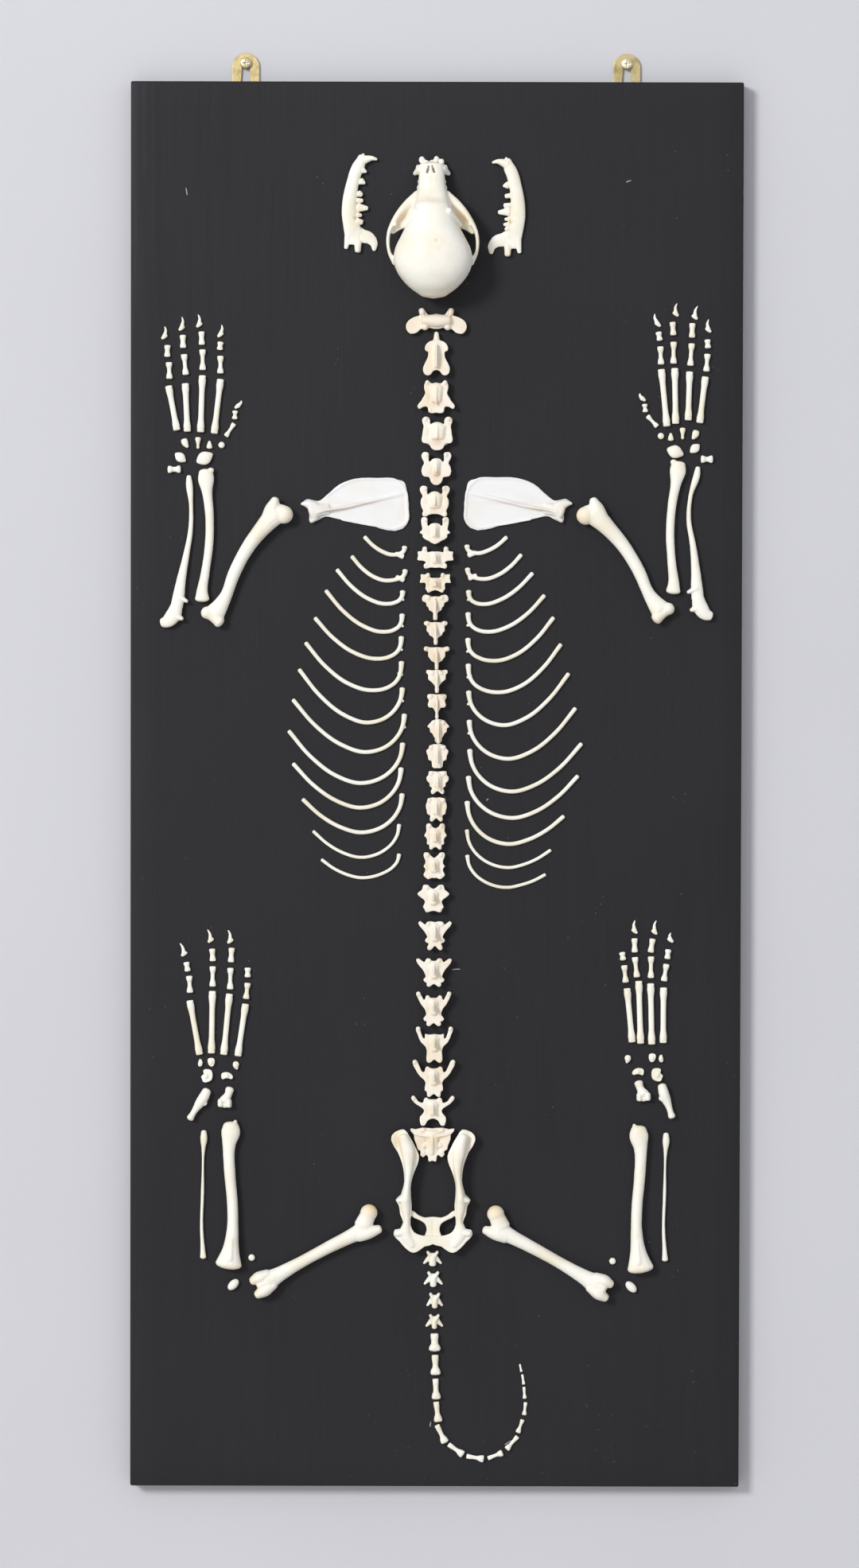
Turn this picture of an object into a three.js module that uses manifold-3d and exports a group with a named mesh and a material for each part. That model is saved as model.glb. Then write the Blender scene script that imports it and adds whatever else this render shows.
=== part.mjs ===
// Skeleton of a small dog, laid out bone by bone on a black board that hangs on a wall.
// Millimetres. X is to the right, Z is up and the bones face -Y. The wall is the plane Y = 0.
// Bones are drawn on the board's face: u to the right, v up from its middle, h out from it.

import * as THREE from "three";
import { mergeVertices } from "three/addons/utils/BufferGeometryUtils.js";
import Module from "manifold-3d";

const wasm = await Module();
wasm.setup();

// Board, hanging plates and wall screws
const BOARD_WIDTH = 400;
const BOARD_HEIGHT = 920;
const BOARD_THICKNESS = 12;
const BOARD_ROUNDING = 1.2;
const HANG_RISE = 473;
const HANG_PLACES = { left: -125.5, right: 124 };
const PLATE_THICKNESS = 1.6;
const PLATE_TOP_RADIUS = 8.8;
const PLATE_TOP_RISE = -2.2;
const PLATE_FOOT_HALF = 17;
const PLATE_FOOT_DROP = 38;
const SLOT_HALF_TOP = 2.2;
const SLOT_HALF_LOW = 3.6;
const SLOT_DROP = 19;
const KEYHOLE_RADIUS = 5;
const SCREW_HEAD_RADIUS = 3.9;
const SCREW_HEAD_HEIGHT = 2.4;
const SCREW_SHANK_RADIUS = 1.7;
const SCREW_CROSS_HALF = 0.5;
const SCREW_CROSS_REACH = 2.2;
const SCREW_CROSS_DEPTH = 1.1;

// Distances between pieces, how deep a glued small bone sinks into the board, and within what distance
// of a flat face its points are merged
const GAP = 0.3;
const SINK = 0.8;
const MERGE_DISTANCE = 0.02;
const BOARD_BACK = PLATE_THICKNESS + GAP;
const BOARD_FACE = BOARD_BACK + BOARD_THICKNESS;

// Sides round a bar of bone: small bones, long bones and the skull
const FEW_SIDES = 4;
const SOME_SIDES = 5;
const MANY_SIDES = 6;
const SKULL_SIDES = 12;

const IVORY = new THREE.Color(0.95, 0.93, 0.86);
const PINKISH = new THREE.Color(0.93, 0.87, 0.78);
const COOL_WHITE = new THREE.Color(0.93, 0.93, 0.93);
const CHARCOAL = new THREE.Color(0.04, 0.04, 0.045);
const BRASS = new THREE.Color(0.72, 0.56, 0.26);
const PALE_BRASS = new THREE.Color(0.8, 0.73, 0.55);

function solidOf(geometry) {
  const bare = geometry.clone();
  bare.deleteAttribute("normal");
  bare.deleteAttribute("uv");
  const merged = mergeVertices(bare, 1e-4);
  const mesh = new wasm.Mesh({
    numProp: 3,
    vertProperties: new Float32Array(merged.attributes.position.array),
    triVerts: new Uint32Array(merged.index.array),
  });
  return new wasm.Manifold(mesh);
}

function largest(solid) {
  const pieces = solid.decompose();
  return pieces.reduce((best, piece) => (piece.volume() > best.volume() ? piece : best));
}

function joined(pieces) {
  return largest(wasm.Manifold.union([pieces].flat(Infinity)));
}

function geometryOf(solid) {
  const mesh = solid.simplify(MERGE_DISTANCE).getMesh();
  const geometry = new THREE.BufferGeometry();
  geometry.setAttribute("position", new THREE.BufferAttribute(mesh.vertProperties, 3));
  geometry.setIndex(new THREE.BufferAttribute(mesh.triVerts, 1));
  geometry.computeVertexNormals();
  return geometry;
}

// A closed solid whose skin runs through rings of points, with a point at each end.
function skin(rings, firstTip, lastTip) {
  const sides = rings[0].length;
  const points = [...rings.flat(), firstTip, lastTip];
  const faces = [];
  for (let ring = 0; ring + 1 < rings.length; ring += 1) {
    for (let side = 0; side < sides; side += 1) {
      const a = ring * sides + side;
      const b = ring * sides + ((side + 1) % sides);
      faces.push(a, b, b + sides, a, b + sides, a + sides);
    }
  }
  const lastRing = (rings.length - 1) * sides;
  for (let side = 0; side < sides; side += 1) {
    const next = (side + 1) % sides;
    faces.push(next, side, points.length - 2);
    faces.push(lastRing + side, lastRing + next, points.length - 1);
  }
  const geometry = new THREE.BufferGeometry();
  const flat = points.flatMap((point) => [point.x, point.y, point.z]);
  geometry.setAttribute("position", new THREE.Float32BufferAttribute(flat, 3));
  geometry.setIndex(faces);
  const solid = solidOf(geometry);
  if (solid.volume() > 0) {
    return solid;
  }
  geometry.setIndex(faces.toReversed());
  return solidOf(geometry);
}

// A bar of bone through stations of u, v, h, half width across the board and half depth out of it.
function limb(stations, sides = SOME_SIDES) {
  const middles = stations.map(([u, v, h]) => new THREE.Vector3(u, v, h));
  const last = stations.length - 1;
  const courses = middles.map((middle, index) => {
    const before = middles[Math.max(index - 1, 0)];
    const after = middles[Math.min(index + 1, last)];
    return after.clone().sub(before).normalize();
  });
  // The bar's flat sides lie as far in as its edges lie out
  const outset = 1 / Math.sqrt(Math.cos(Math.PI / sides));
  const rings = stations.map(([, , , halfWidth, halfDepth], index) => {
    const steep = Math.abs(courses[index].z) > 0.85;
    const outward = steep ? new THREE.Vector3(0, 1, 0) : new THREE.Vector3(0, 0, 1);
    const across = courses[index].clone().cross(outward).normalize();
    const up = across.clone().cross(courses[index]).normalize();
    return Array.from({ length: sides }, (unused, side) => {
      const turn = ((side + 0.5) / sides) * 2 * Math.PI;
      return middles[index]
        .clone()
        .addScaledVector(across, outset * halfWidth * Math.cos(turn))
        .addScaledVector(up, outset * halfDepth * Math.sin(turn));
    });
  });
  const bulge = (index) => 0.5 * Math.min(stations[index][3], stations[index][4]);
  const firstTip = middles[0].clone().addScaledVector(courses[0], -bulge(0));
  const lastTip = middles[last].clone().addScaledVector(courses[last], bulge(last));
  return skin(rings, firstTip, lastTip);
}

function knob(place, radii, around = MANY_SIDES, rows = 4) {
  const geometry = new THREE.SphereGeometry(1, around, rows);
  geometry.rotateX(Math.PI / 2);
  geometry.scale(...radii);
  geometry.translate(...place);
  return solidOf(geometry);
}

// A flat plate of bone from its outline on the board.
function plate(outline, low, thickness) {
  const shape = new THREE.Shape(outline.map(([u, v]) => new THREE.Vector2(u, v)));
  const geometry = new THREE.ExtrudeGeometry(shape, { depth: thickness, bevelEnabled: false });
  geometry.translate(0, 0, low);
  return solidOf(geometry);
}

// The right half of an outline, from the top down, with the left half added as its mirror image.
function symmetric(rightHalf) {
  const leftHalf = rightHalf.filter(([u]) => u > 0).map(([u, v]) => [-u, v]);
  return [...rightHalf, ...leftHalf.reverse()].reverse();
}

// What lies under the board's face is cut off, so that a bone rests flat on it.
function restingOn(solid, level = GAP) {
  return largest(solid.trimByPlane([0, 0, 1], level));
}

const mirrored = (pieces) => pieces.map((piece) => piece.mirror([1, 0, 0]));
const bothSides = (pieces) => [...pieces, ...mirrored(pieces)];

const object = new THREE.Group();
object.rotation.x = Math.PI / 2;
object.position.set(0, -BOARD_FACE, -HANG_RISE);

function addNode(name, geometry, colour, roughness, metalness = 0) {
  const look = { color: colour, roughness, metalness, flatShading: true };
  const mesh = new THREE.Mesh(geometry, new THREE.MeshStandardMaterial(look));
  mesh.name = name;
  object.add(mesh);
  return mesh;
}

// A bone in its own node, made round its own origin and then turned and set on the board.
function addBone(name, pieces, place = [0, 0], turnDegrees = 0, colour = IVORY) {
  const mesh = addNode(name, geometryOf(restingOn(joined(pieces))), colour, 0.6);
  mesh.position.set(place[0], place[1], 0);
  mesh.rotation.z = THREE.MathUtils.degToRad(turnDegrees);
  return mesh;
}

// Small bones that are glued to the board and become one solid with it
const glued = [];

// A small bone that grows out of the board, through stations of u, v, half width and height.
function glue(stations) {
  const places = stations.map(([u, v]) => new THREE.Vector2(u, v));
  const last = places.length - 1;
  const courses = places.map((place, index) => {
    const before = places[Math.max(index - 1, 0)];
    return places[Math.min(index + 1, last)].clone().sub(before).normalize();
  });
  const rings = stations.map(([u, v, half, high], index) => {
    const { x, y } = courses[index];
    const corner = (across, h) => new THREE.Vector3(u + y * across, v - x * across, h);
    const ridge = half * 0.62;
    return [corner(half, -SINK), corner(ridge, high), corner(-ridge, high), corner(-half, -SINK)];
  });
  const middleOf = ([a, b, c]) => a.clone().add(b).add(c).divideScalar(3);
  glued.push(skin(rings, middleOf(rings[0]), middleOf(rings[last])));
}

// A bone with two thick ends and a waist, from one end to the other.
function spool([u1, v1], [u2, v2], endHalf, waistHalf) {
  const middle = [(u1 + u2) / 2, (v1 + v2) / 2];
  glue([
    [u1, v1, endHalf, endHalf * 1.6],
    [...middle, waistHalf, waistHalf * 1.8],
    [u2, v2, endHalf, endHalf * 1.6],
  ]);
}

// A claw: a wide foot and a thin spike
function claw(tip, root) {
  const neck = [root[0] + (tip[0] - root[0]) * 0.38, root[1] + (tip[1] - root[1]) * 0.38];
  glue([[...root, 2.2, 2.6], [...neck, 1.2, 2.2], [...tip, 0.5, 1.1]]);
}

function pebble([u, v], [halfU, halfV], high = 3.2) {
  const end = [halfU * 0.8, high * 0.8];
  glue([[u, v + halfV * 0.55, ...end], [u, v, halfU, high], [u, v - halfV * 0.55, ...end]]);
}

// A toe: its claw and then its bones, each from its upper to its lower end.
function toe(points, widths) {
  const [clawTip, clawRoot, ...rest] = points;
  if (clawTip) {
    claw(clawTip, clawRoot);
  }
  for (let index = 0; index + 1 < rest.length; index += 2) {
    const [endHalf, waistHalf] = widths[Math.min(index / 2, widths.length - 1)];
    spool(rest[index], rest[index + 1], endHalf, waistHalf);
  }
}

const TOE_WIDTHS = [[2.1, 1.6], [2.2, 1.35], [2.4, 1.85]];
const THUMB_WIDTHS = [[1.9, 1.2], [1.7, 1.1]];

// Toes of the four feet: the claw's tip and root, then both ends of each bone down to the wrist or ankle
const FRONT_TOES = [
  [[-177.5, 300.1], [-177.9, 293.3], [-175.9, 287.2], [-176, 281.2], [-174.9, 276], [-174.6, 266.9],
    [-175, 260.6], [-169.8, 233.4]],
  [[-166.3, 306.4], [-166.6, 298.9], [-165.9, 293.8], [-165.7, 287], [-165, 281.2], [-164, 269.5],
    [-164.2, 262.2], [-162.9, 232.6]],
  [[-155.8, 308], [-155.1, 301.1], [-153.7, 296.1], [-153.5, 289.1], [-153, 284.4], [-152.9, 272.7],
    [-153.1, 267.4], [-154.2, 232.2]],
  [[-140.4, 301.4], [-141.3, 294.7], [-141.3, 289.4], [-141.7, 285.8], [-141.3, 280.2], [-141.3, 270.5],
    [-141.3, 265], [-145.2, 231.3]],
  [[142, 309.1], [144.1, 302.2], [144.7, 296.5], [145.4, 292.5], [145.9, 287], [146.3, 277],
    [146.6, 272.1], [150.2, 236.7]],
  [[156.5, 315.9], [155.8, 308.9], [153.8, 303], [154.3, 296], [154.5, 290], [154.5, 277.6],
    [155.3, 272.8], [156, 238.4]],
  [[169.9, 314.1], [168.2, 306.9], [166.7, 302.2], [166.5, 294.5], [166.3, 289], [165.5, 276.2],
    [165, 270.6], [164.2, 240.7]],
  [[177.2, 305.5], [177.1, 298.5], [176.6, 291.6], [176.9, 287.6], [176.6, 282.2], [176, 272.5],
    [175.2, 267.3], [171.8, 239]],
];
const THUMBS = [
  [[-127.5, 252.1], [-130, 248.2], [-131.7, 244.6], [-131.9, 240.6], [-132.6, 236.5], [-137.4, 229.2]],
  [[132.6, 257.3], [134.4, 253.6], [135.8, 249.6], [136.2, 245.8], [138, 242.2], [143.6, 236.1]],
];
const HIND_TOES = [
  [[-167.2, -103], [-164.6, -110], [-163.1, -116], [-162.4, -120.4], [-161.3, -125.1], [-160.8, -134.4],
    [-160.8, -141.2], [-154.6, -175]],
  [[-149.2, -94], [-147.2, -101], [-146.3, -107.2], [-145.9, -113.7], [-145.9, -118.8], [-146, -130.3],
    [-146.1, -135], [-146.7, -174.1]],
  [[-135.7, -94.3], [-134.4, -101.5], [-133.5, -106.6], [-134, -114.4], [-134.3, -119.8], [-134.5, -132.1],
    [-135, -136.8], [-138.6, -175]],
  [null, null, [-123, -119.6], [-123, -124.2], [-123.1, -129.6], [-124, -138.4], [-124.5, -143.4],
    [-129.3, -175.9]],
  [null, null, [122.3, -108.9], [122.8, -112.4], [123.7, -117.5], [124.6, -127.1], [125.6, -132.6],
    [128.9, -166.2]],
  [[130.5, -87.3], [130.3, -94.4], [130.3, -99.8], [130.5, -107.3], [130.7, -112.1], [131.9, -123.6],
    [133.2, -127.8], [134.5, -167.1]],
  [[144.3, -87.4], [143.3, -95], [142.1, -100], [141, -107.3], [141.2, -111.7], [141.1, -124.1],
    [141, -129.4], [141.8, -167.6]],
  [[154, -95.4], [153.8, -100.2], [152.4, -107], [151.9, -111.6], [151.2, -116.6], [149.8, -126.1],
    [149.4, -132.1], [149.3, -166.6]],
];
for (const points of [...FRONT_TOES, ...HIND_TOES]) {
  toe(points, TOE_WIDTHS);
}
for (const points of THUMBS) {
  toe(points, THUMB_WIDTHS);
}

// Wrist bones: the outer row, the two of the inner row and the one that sticks out
const WRISTS = [
  {
    row: [[[-164.4, 224.3], [2.8, 3]], [[-155.9, 224.3], [2.2, 3.8]], [[-148.4, 223.1], [2.2, 2.4]],
      [[-140.5, 223], [2.1, 2.1]]],
    ulnar: [[-169.6, 216.6], [-165, 212.9]],
    radial: [[-154.9, 212.6], [-147.8, 216.4]],
    outer: [[-174.6, 207], [-168.2, 207.1]],
  },
  {
    row: [[[146.4, 229.5], [2.1, 2.1]], [[152.9, 228.9], [2.2, 2.4]], [[160.6, 231.2], [2.2, 3.8]],
      [[168.9, 230.5], [2.9, 3]]],
    ulnar: [[170.4, 223], [166.6, 219.6]],
    radial: [[152.4, 220.4], [159.6, 217.8]],
    outer: [[173.6, 214.4], [179.4, 214.4]],
  },
];
for (const { row, ulnar, radial, outer } of WRISTS) {
  row.forEach(([place, size]) => pebble(place, size));
  glue([[...ulnar[0], 2.2, 3.2], [...ulnar[1], 2, 3]]);
  glue([[...radial[0], 2.9, 3.8], [...radial[1], 2.4, 3.4]]);
  spool(...outer, 2.7, 1.6);
}

// Ankle bones: place, half sizes and height
const ANKLES = [
  [[-153.9, -181.2], [1.6, 2.7], 3],
  [[-146.9, -181], [2.6, 3], 3.2],
  [[-130.7, -183], [2.1, 3.1], 3.2],
  [[-150, -189.9], [3.9, 4.1], 4],
  [[-136.4, -189.7], [4.1, 2.5], 3.6],
  [[126.2, -178.3], [2.3, 2.9], 3.2],
  [[142.2, -177.4], [2.4, 2.9], 3.2],
  [[147.9, -177.7], [1.8, 2.8], 3],
  [[132.9, -186.4], [3.9, 2.5], 3.6],
  [[145.8, -188.6], [3.9, 4.1], 4],
];
for (const [place, size, high] of ANKLES) {
  pebble(place, size, high);
}
const KNEE_BEADS = [[-120.2, -309.2], [116.6, -311]];
for (const place of KNEE_BEADS) {
  pebble(place, [2.1, 2.1], 3.2);
}

// Tail bones down the middle and round the hook: place, length, half width, half waist, half wing
const TAIL = [
  [[-1.5, -309.6], 9.4, 4.2, 3.6, 5.9],
  [[-1, -323.2], 9.4, 4, 3.3, 6],
  [[0, -337.3], 9.4, 3.6, 2.9, 5.1],
  [[-0.2, -351.1], 9.6, 3.5, 2.7, 6],
  [[0, -364.6], 11.6, 3.9, 2.6, 0],
  [[0.5, -379.2], 12.5, 3.1, 1.9, 0],
  [[0.9, -395.1], 13, 2.8, 1.7, 0],
  [[1.8, -410.2], 12.8, 2.6, 1.6, 0],
  [[4.3, -424.8], 12.5, 2.5, 1.5, 0],
  [[13.9, -435.2], 11.5, 2.3, 1.4, 0],
  [[26.6, -440.6], 11.2, 2.2, 1.3, 0],
  [[39.8, -439.3], 10.2, 2, 1.2, 0],
  [[51.1, -430.8], 10.9, 1.9, 1.1, 0],
  [[56.4, -419.8], 9, 1.7, 1, 0],
  [[59.4, -408.3], 8.3, 1.5, 0.95, 0],
  [[59, -397.8], 7.6, 1.3, 0.9, 0],
  [[58.1, -389.1], 6.6, 1.1, 0.85, 0],
  [[56.5, -381.6], 5.1, 0.9, 0.7, 0],
];
TAIL.forEach(([[u, v], long, endHalf, waistHalf, wing], index) => {
  const before = TAIL[Math.max(index - 1, 0)][0];
  const after = TAIL[Math.min(index + 1, TAIL.length - 1)][0];
  const course = new THREE.Vector2(after[0] - before[0], after[1] - before[1]).normalize();
  const reach = long / 2 - endHalf * 0.3;
  const top = [u - course.x * reach, v - course.y * reach];
  const foot = [u + course.x * reach, v + course.y * reach];
  spool(top, foot, endHalf, waistHalf);
  for (const side of wing ? [-1, 1] : []) {
    glue([[u + side * 1.2, v + 1.4, 2, 2.6], [u + side * wing * 0.96, v - long * 0.28, 0.8, 1.5]]);
  }
});

// Ribs: for each, where its head lies, how far out, up and down it reaches, and where it is lowest
const RIBS = {
  left: {
    heads: [[-20.8, 156.5], [-20.4, 141.3], [-22, 127.5], [-22.3, 112.3], [-22.8, 97.6], [-22.7, 81.3],
      [-22.1, 64.1], [-20.7, 46.9], [-21.8, 28], [-22.8, 11.7], [-22.1, -5.2], [-24, -25.1], [-24, -44.5]],
    reaches: [26, 34.7, 42.8, 49.7, 56.3, 62.5, 67.3, 72.7, 74.3, 70.4, 64.8, 56.1, 50.5],
    rises: [6.6, 9, 14.1, 15.6, 12.4, 12.5, 12.2, 9.6, 8.1, 3, -3.4, -4.3, -3.5],
    sags: [4.2, 5.8, 7.3, 10.4, 13.3, 17.6, 21.6, 23.7, 25.1, 24.9, 24.2, 20.6, 14.5],
    lows: [8.6, 13.7, 12.2, 13.5, 17.7, 20.9, 22.9, 25.2, 27.7, 26.8, 27, 25.7, 25.7],
  },
  right: {
    heads: [[20, 157.4], [20.4, 142.4], [21.1, 127.8], [20.8, 113.3], [20.7, 96.5], [21, 79.7],
      [21.3, 62.1], [21.7, 43], [22.1, 23.9], [21.3, 6.3], [20.5, -10.1], [20.4, -28.6], [20.7, -45.2]],
    reaches: [25.7, 34.9, 41.6, 49.7, 55.8, 60.4, 65.2, 69.3, 72.9, 71.4, 63, 54.6, 50.9],
    rises: [5.7, 9.2, 11.8, 11.8, 14.1, 13.4, 11.9, 8.4, 4.3, 0.8, -9.2, -12.8, -12.2],
    sags: [4, 5.8, 7.7, 11.2, 13.3, 17.1, 21.1, 24, 26.3, 26, 26.7, 23.6, 20],
    lows: [7.9, 12.1, 10.8, 14.8, 19.5, 22.3, 23.5, 25.9, 27.8, 29.1, 27.8, 27.8, 26.7],
  },
};
const RIB_STATIONS = 6;
const SHARP_RIBS = 6;
const FORKED_RIBS = 8;
const RIB_HEAD_HALF = 1.9;
const RIB_WAIST_HALF = 1.3;
const RIB_END_HALF = 1.45;

// The rib drops from its head to its lowest point and then climbs to its tip; a bigger bend makes its
// corner sharper.
function ribCurve(reach, rise, sag, low, bend) {
  const points = [];
  for (const part of [0, 0.04, 0.15, 0.45, 1]) {
    const drop = (1 - (1 - part) ** bend) ** (1 / bend);
    points.push(new THREE.Vector2(low * part, -(sag + RIB_HEAD_HALF / 3) * drop));
  }
  for (const part of [0.35, 0.7, 1]) {
    points.push(new THREE.Vector2(low + (reach - low) * part, -sag + (sag + rise) * part ** 1.9));
  }
  return new THREE.SplineCurve(points);
}

for (const [side, ribs] of Object.entries(RIBS)) {
  const outward = side === "left" ? -1 : 1;
  ribs.heads.forEach(([u, v], index) => {
    const { reaches, rises, sags, lows } = ribs;
    const bend = index < SHARP_RIBS ? 2.6 : 2;
    const curve = ribCurve(reaches[index], rises[index], sags[index], lows[index], bend);
    const slim = index > 10 ? 0.8 : 1;
    const stations = curve.getSpacedPoints(RIB_STATIONS - 1).map((point, step) => {
      const part = step / (RIB_STATIONS - 1);
      const swell = part < 0.12 ? RIB_HEAD_HALF : RIB_WAIST_HALF + (RIB_END_HALF - RIB_WAIST_HALF) * part;
      const half = swell * slim;
      return [u + outward * point.x, v + point.y, half, half * 1.9];
    });
    glue(stations);
    const drop = Math.min(sags[index] * 0.66, 7.6);
    if (index < 2) {
      glue([[u + outward * 5.6, v - 4.2, 1.5, 2.4], [u + outward, v - 6, 1.8, 2.4]]);
    } else if (index < FORKED_RIBS) {
      glue([[u + outward * 1.8, v - drop + 0.8, 1.4, 2.4], [u - outward * 0.7, v - drop - 0.6, 0.8, 1.8]]);
    }
  });
}

// The board, with a small rounding along its four edges and the small bones on its face
function boardPanel() {
  const halfWidth = BOARD_WIDTH / 2 - BOARD_ROUNDING;
  const halfHeight = BOARD_HEIGHT / 2 - BOARD_ROUNDING;
  const shape = new THREE.Shape([
    new THREE.Vector2(-halfWidth, -halfHeight),
    new THREE.Vector2(halfWidth, -halfHeight),
    new THREE.Vector2(halfWidth, halfHeight),
    new THREE.Vector2(-halfWidth, halfHeight),
  ]);
  const geometry = new THREE.ExtrudeGeometry(shape, {
    depth: BOARD_THICKNESS - 2 * BOARD_ROUNDING,
    bevelThickness: BOARD_ROUNDING,
    bevelSize: BOARD_ROUNDING,
    bevelSegments: 1,
  });
  geometry.translate(0, 0, -BOARD_THICKNESS + BOARD_ROUNDING);
  return solidOf(geometry);
}
addNode("board", geometryOf(joined([boardPanel(), glued])), CHARCOAL, 0.75);

// Hanging plates with a keyhole, and the screws that they hang on
function hangerPlate() {
  const shape = new THREE.Shape();
  const flareRise = PLATE_TOP_RISE - 12;
  const shoulder = -24;
  shape.absarc(0, PLATE_TOP_RISE, PLATE_TOP_RADIUS, 0, Math.PI, false);
  shape.quadraticCurveTo(-PLATE_TOP_RADIUS, flareRise, -PLATE_TOP_RADIUS - 2.4, flareRise - 2);
  shape.lineTo(-PLATE_FOOT_HALF, shoulder);
  shape.lineTo(-PLATE_FOOT_HALF, -PLATE_FOOT_DROP);
  shape.lineTo(PLATE_FOOT_HALF, -PLATE_FOOT_DROP);
  shape.lineTo(PLATE_FOOT_HALF, shoulder);
  shape.lineTo(PLATE_TOP_RADIUS + 2.4, flareRise - 2);
  shape.quadraticCurveTo(PLATE_TOP_RADIUS, flareRise, PLATE_TOP_RADIUS, PLATE_TOP_RISE);
  const hole = new THREE.Path();
  const slotAngle = Math.asin(SLOT_HALF_LOW / KEYHOLE_RADIUS);
  hole.absarc(0, 0, SLOT_HALF_TOP, 0, Math.PI, false);
  const firstAngle = Math.PI / 2 + slotAngle;
  hole.absarc(0, -SLOT_DROP, KEYHOLE_RADIUS, firstAngle, 3 * Math.PI - firstAngle, false);
  shape.holes.push(hole);
  const thickness = { depth: PLATE_THICKNESS, bevelEnabled: false, curveSegments: 5 };
  return solidOf(new THREE.ExtrudeGeometry(shape, thickness));
}

function wallScrew() {
  const edge = SCREW_HEAD_RADIUS * 0.75;
  const profile = [
    [0, 0],
    [SCREW_SHANK_RADIUS, 0],
    [SCREW_SHANK_RADIUS, BOARD_BACK],
    [SCREW_HEAD_RADIUS, BOARD_BACK],
    [SCREW_HEAD_RADIUS, BOARD_BACK + SCREW_HEAD_HEIGHT * 0.45],
    [edge, BOARD_BACK + SCREW_HEAD_HEIGHT * 0.9],
    [0, BOARD_BACK + SCREW_HEAD_HEIGHT],
  ];
  const turned = new THREE.LatheGeometry(profile.map(([r, y]) => new THREE.Vector2(r, y)), 10);
  turned.rotateX(Math.PI / 2);
  const cut = (across, along) => {
    const box = new THREE.BoxGeometry(2 * across, 2 * along, 2 * SCREW_CROSS_DEPTH);
    box.translate(0, 0, BOARD_BACK + SCREW_HEAD_HEIGHT);
    return solidOf(box);
  };
  const cross = [cut(SCREW_CROSS_HALF, SCREW_CROSS_REACH), cut(SCREW_CROSS_REACH, SCREW_CROSS_HALF)];
  return largest(solidOf(turned).subtract(wasm.Manifold.union(cross)));
}

for (const [side, place] of Object.entries(HANG_PLACES)) {
  const hanger = addNode(`hanger_${side}`, geometryOf(hangerPlate()), BRASS, 0.4, 1);
  hanger.position.set(place, HANG_RISE, -BOARD_FACE);
  const screw = addNode(`wall_screw_${side}`, geometryOf(wallScrew()), PALE_BRASS, 0.35, 1);
  screw.position.set(place, HANG_RISE, -BOARD_FACE);
}

// Skull from its blunt back to the snout: rise, half width, under side and top
const SKULL_PLACE = [-2.3, 318.1];
const SKULL_RINGS = [
  [1, 7.5, 8, 24],
  [5.4, 14, 4.5, 32],
  [12, 20.6, 3, 38],
  [21, 25.2, 2.5, 41.5],
  [31, 24.6, 3, 42],
  [40, 20.4, 4, 40],
  [48, 16.4, 5, 36.5],
  [57, 13.6, 6, 32],
  [63, 11.6, 5.5, 26.5],
  [70, 9.4, 4, 20.5],
  [80, 8.4, 3, 16.5],
  [89.5, 7.4, 3, 13],
];
// The snout leans a little to the left of the braincase
const SNOUT_LEAN = -0.016;
function skullPieces() {
  const rings = SKULL_RINGS.map(([v, half, low, top]) =>
    Array.from({ length: SKULL_SIDES }, (unused, side) => {
      const turn = ((side + 0.5) / SKULL_SIDES) * 2 * Math.PI;
      const round = (value) => Math.sign(value) * Math.abs(value) ** 0.85;
      const middle = (low + top) / 2;
      const tall = (top - low) / 2;
      return new THREE.Vector3(half * round(Math.cos(turn)), v, middle + tall * round(Math.sin(turn)));
    }));
  const hull = skin(rings, new THREE.Vector3(0, 0, 15), new THREE.Vector3(0, 92, 8));
  const rightSide = [
    limb([
      [9, 67, 11, 3.4, 3.4], [17, 60, 13.6, 2.8, 2.8], [24.6, 50, 15.5, 2, 3], [28.3, 42.5, 16.5, 1.3, 3],
      [29.1, 35.5, 17, 1.2, 3], [28, 28.5, 17.5, 1.3, 2.4], [24.4, 22.6, 17, 2.2, 2.4],
    ]),
    plate([[11, 62], [12, 47], [22, 44], [26.4, 41.6], [28, 43.6], [25, 49.5], [18, 58.5],
      [11, 62]], 9, 5),
    limb([[10, 55, 28.5, 3, 2.6], [18, 47, 20, 1.5, 2]], FEW_SIDES),
    limb([[6.6, 86, 7, 2.2, 2.6], [12, 81.2, 2.2, 0.8, 1]], FEW_SIDES),
    limb([[3, 88.5, 5, 1.6, 1.8], [4.6, 91.4, 2.6, 1.2, 1.2]], FEW_SIDES),
  ];
  return [hull, bothSides(rightSide)];
}
const skull = addBone("skull", skullPieces(), SKULL_PLACE);
skull.geometry.applyMatrix4(new THREE.Matrix4().makeShear(0, 0, SNOUT_LEAN, 0, 0, 0));

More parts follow.
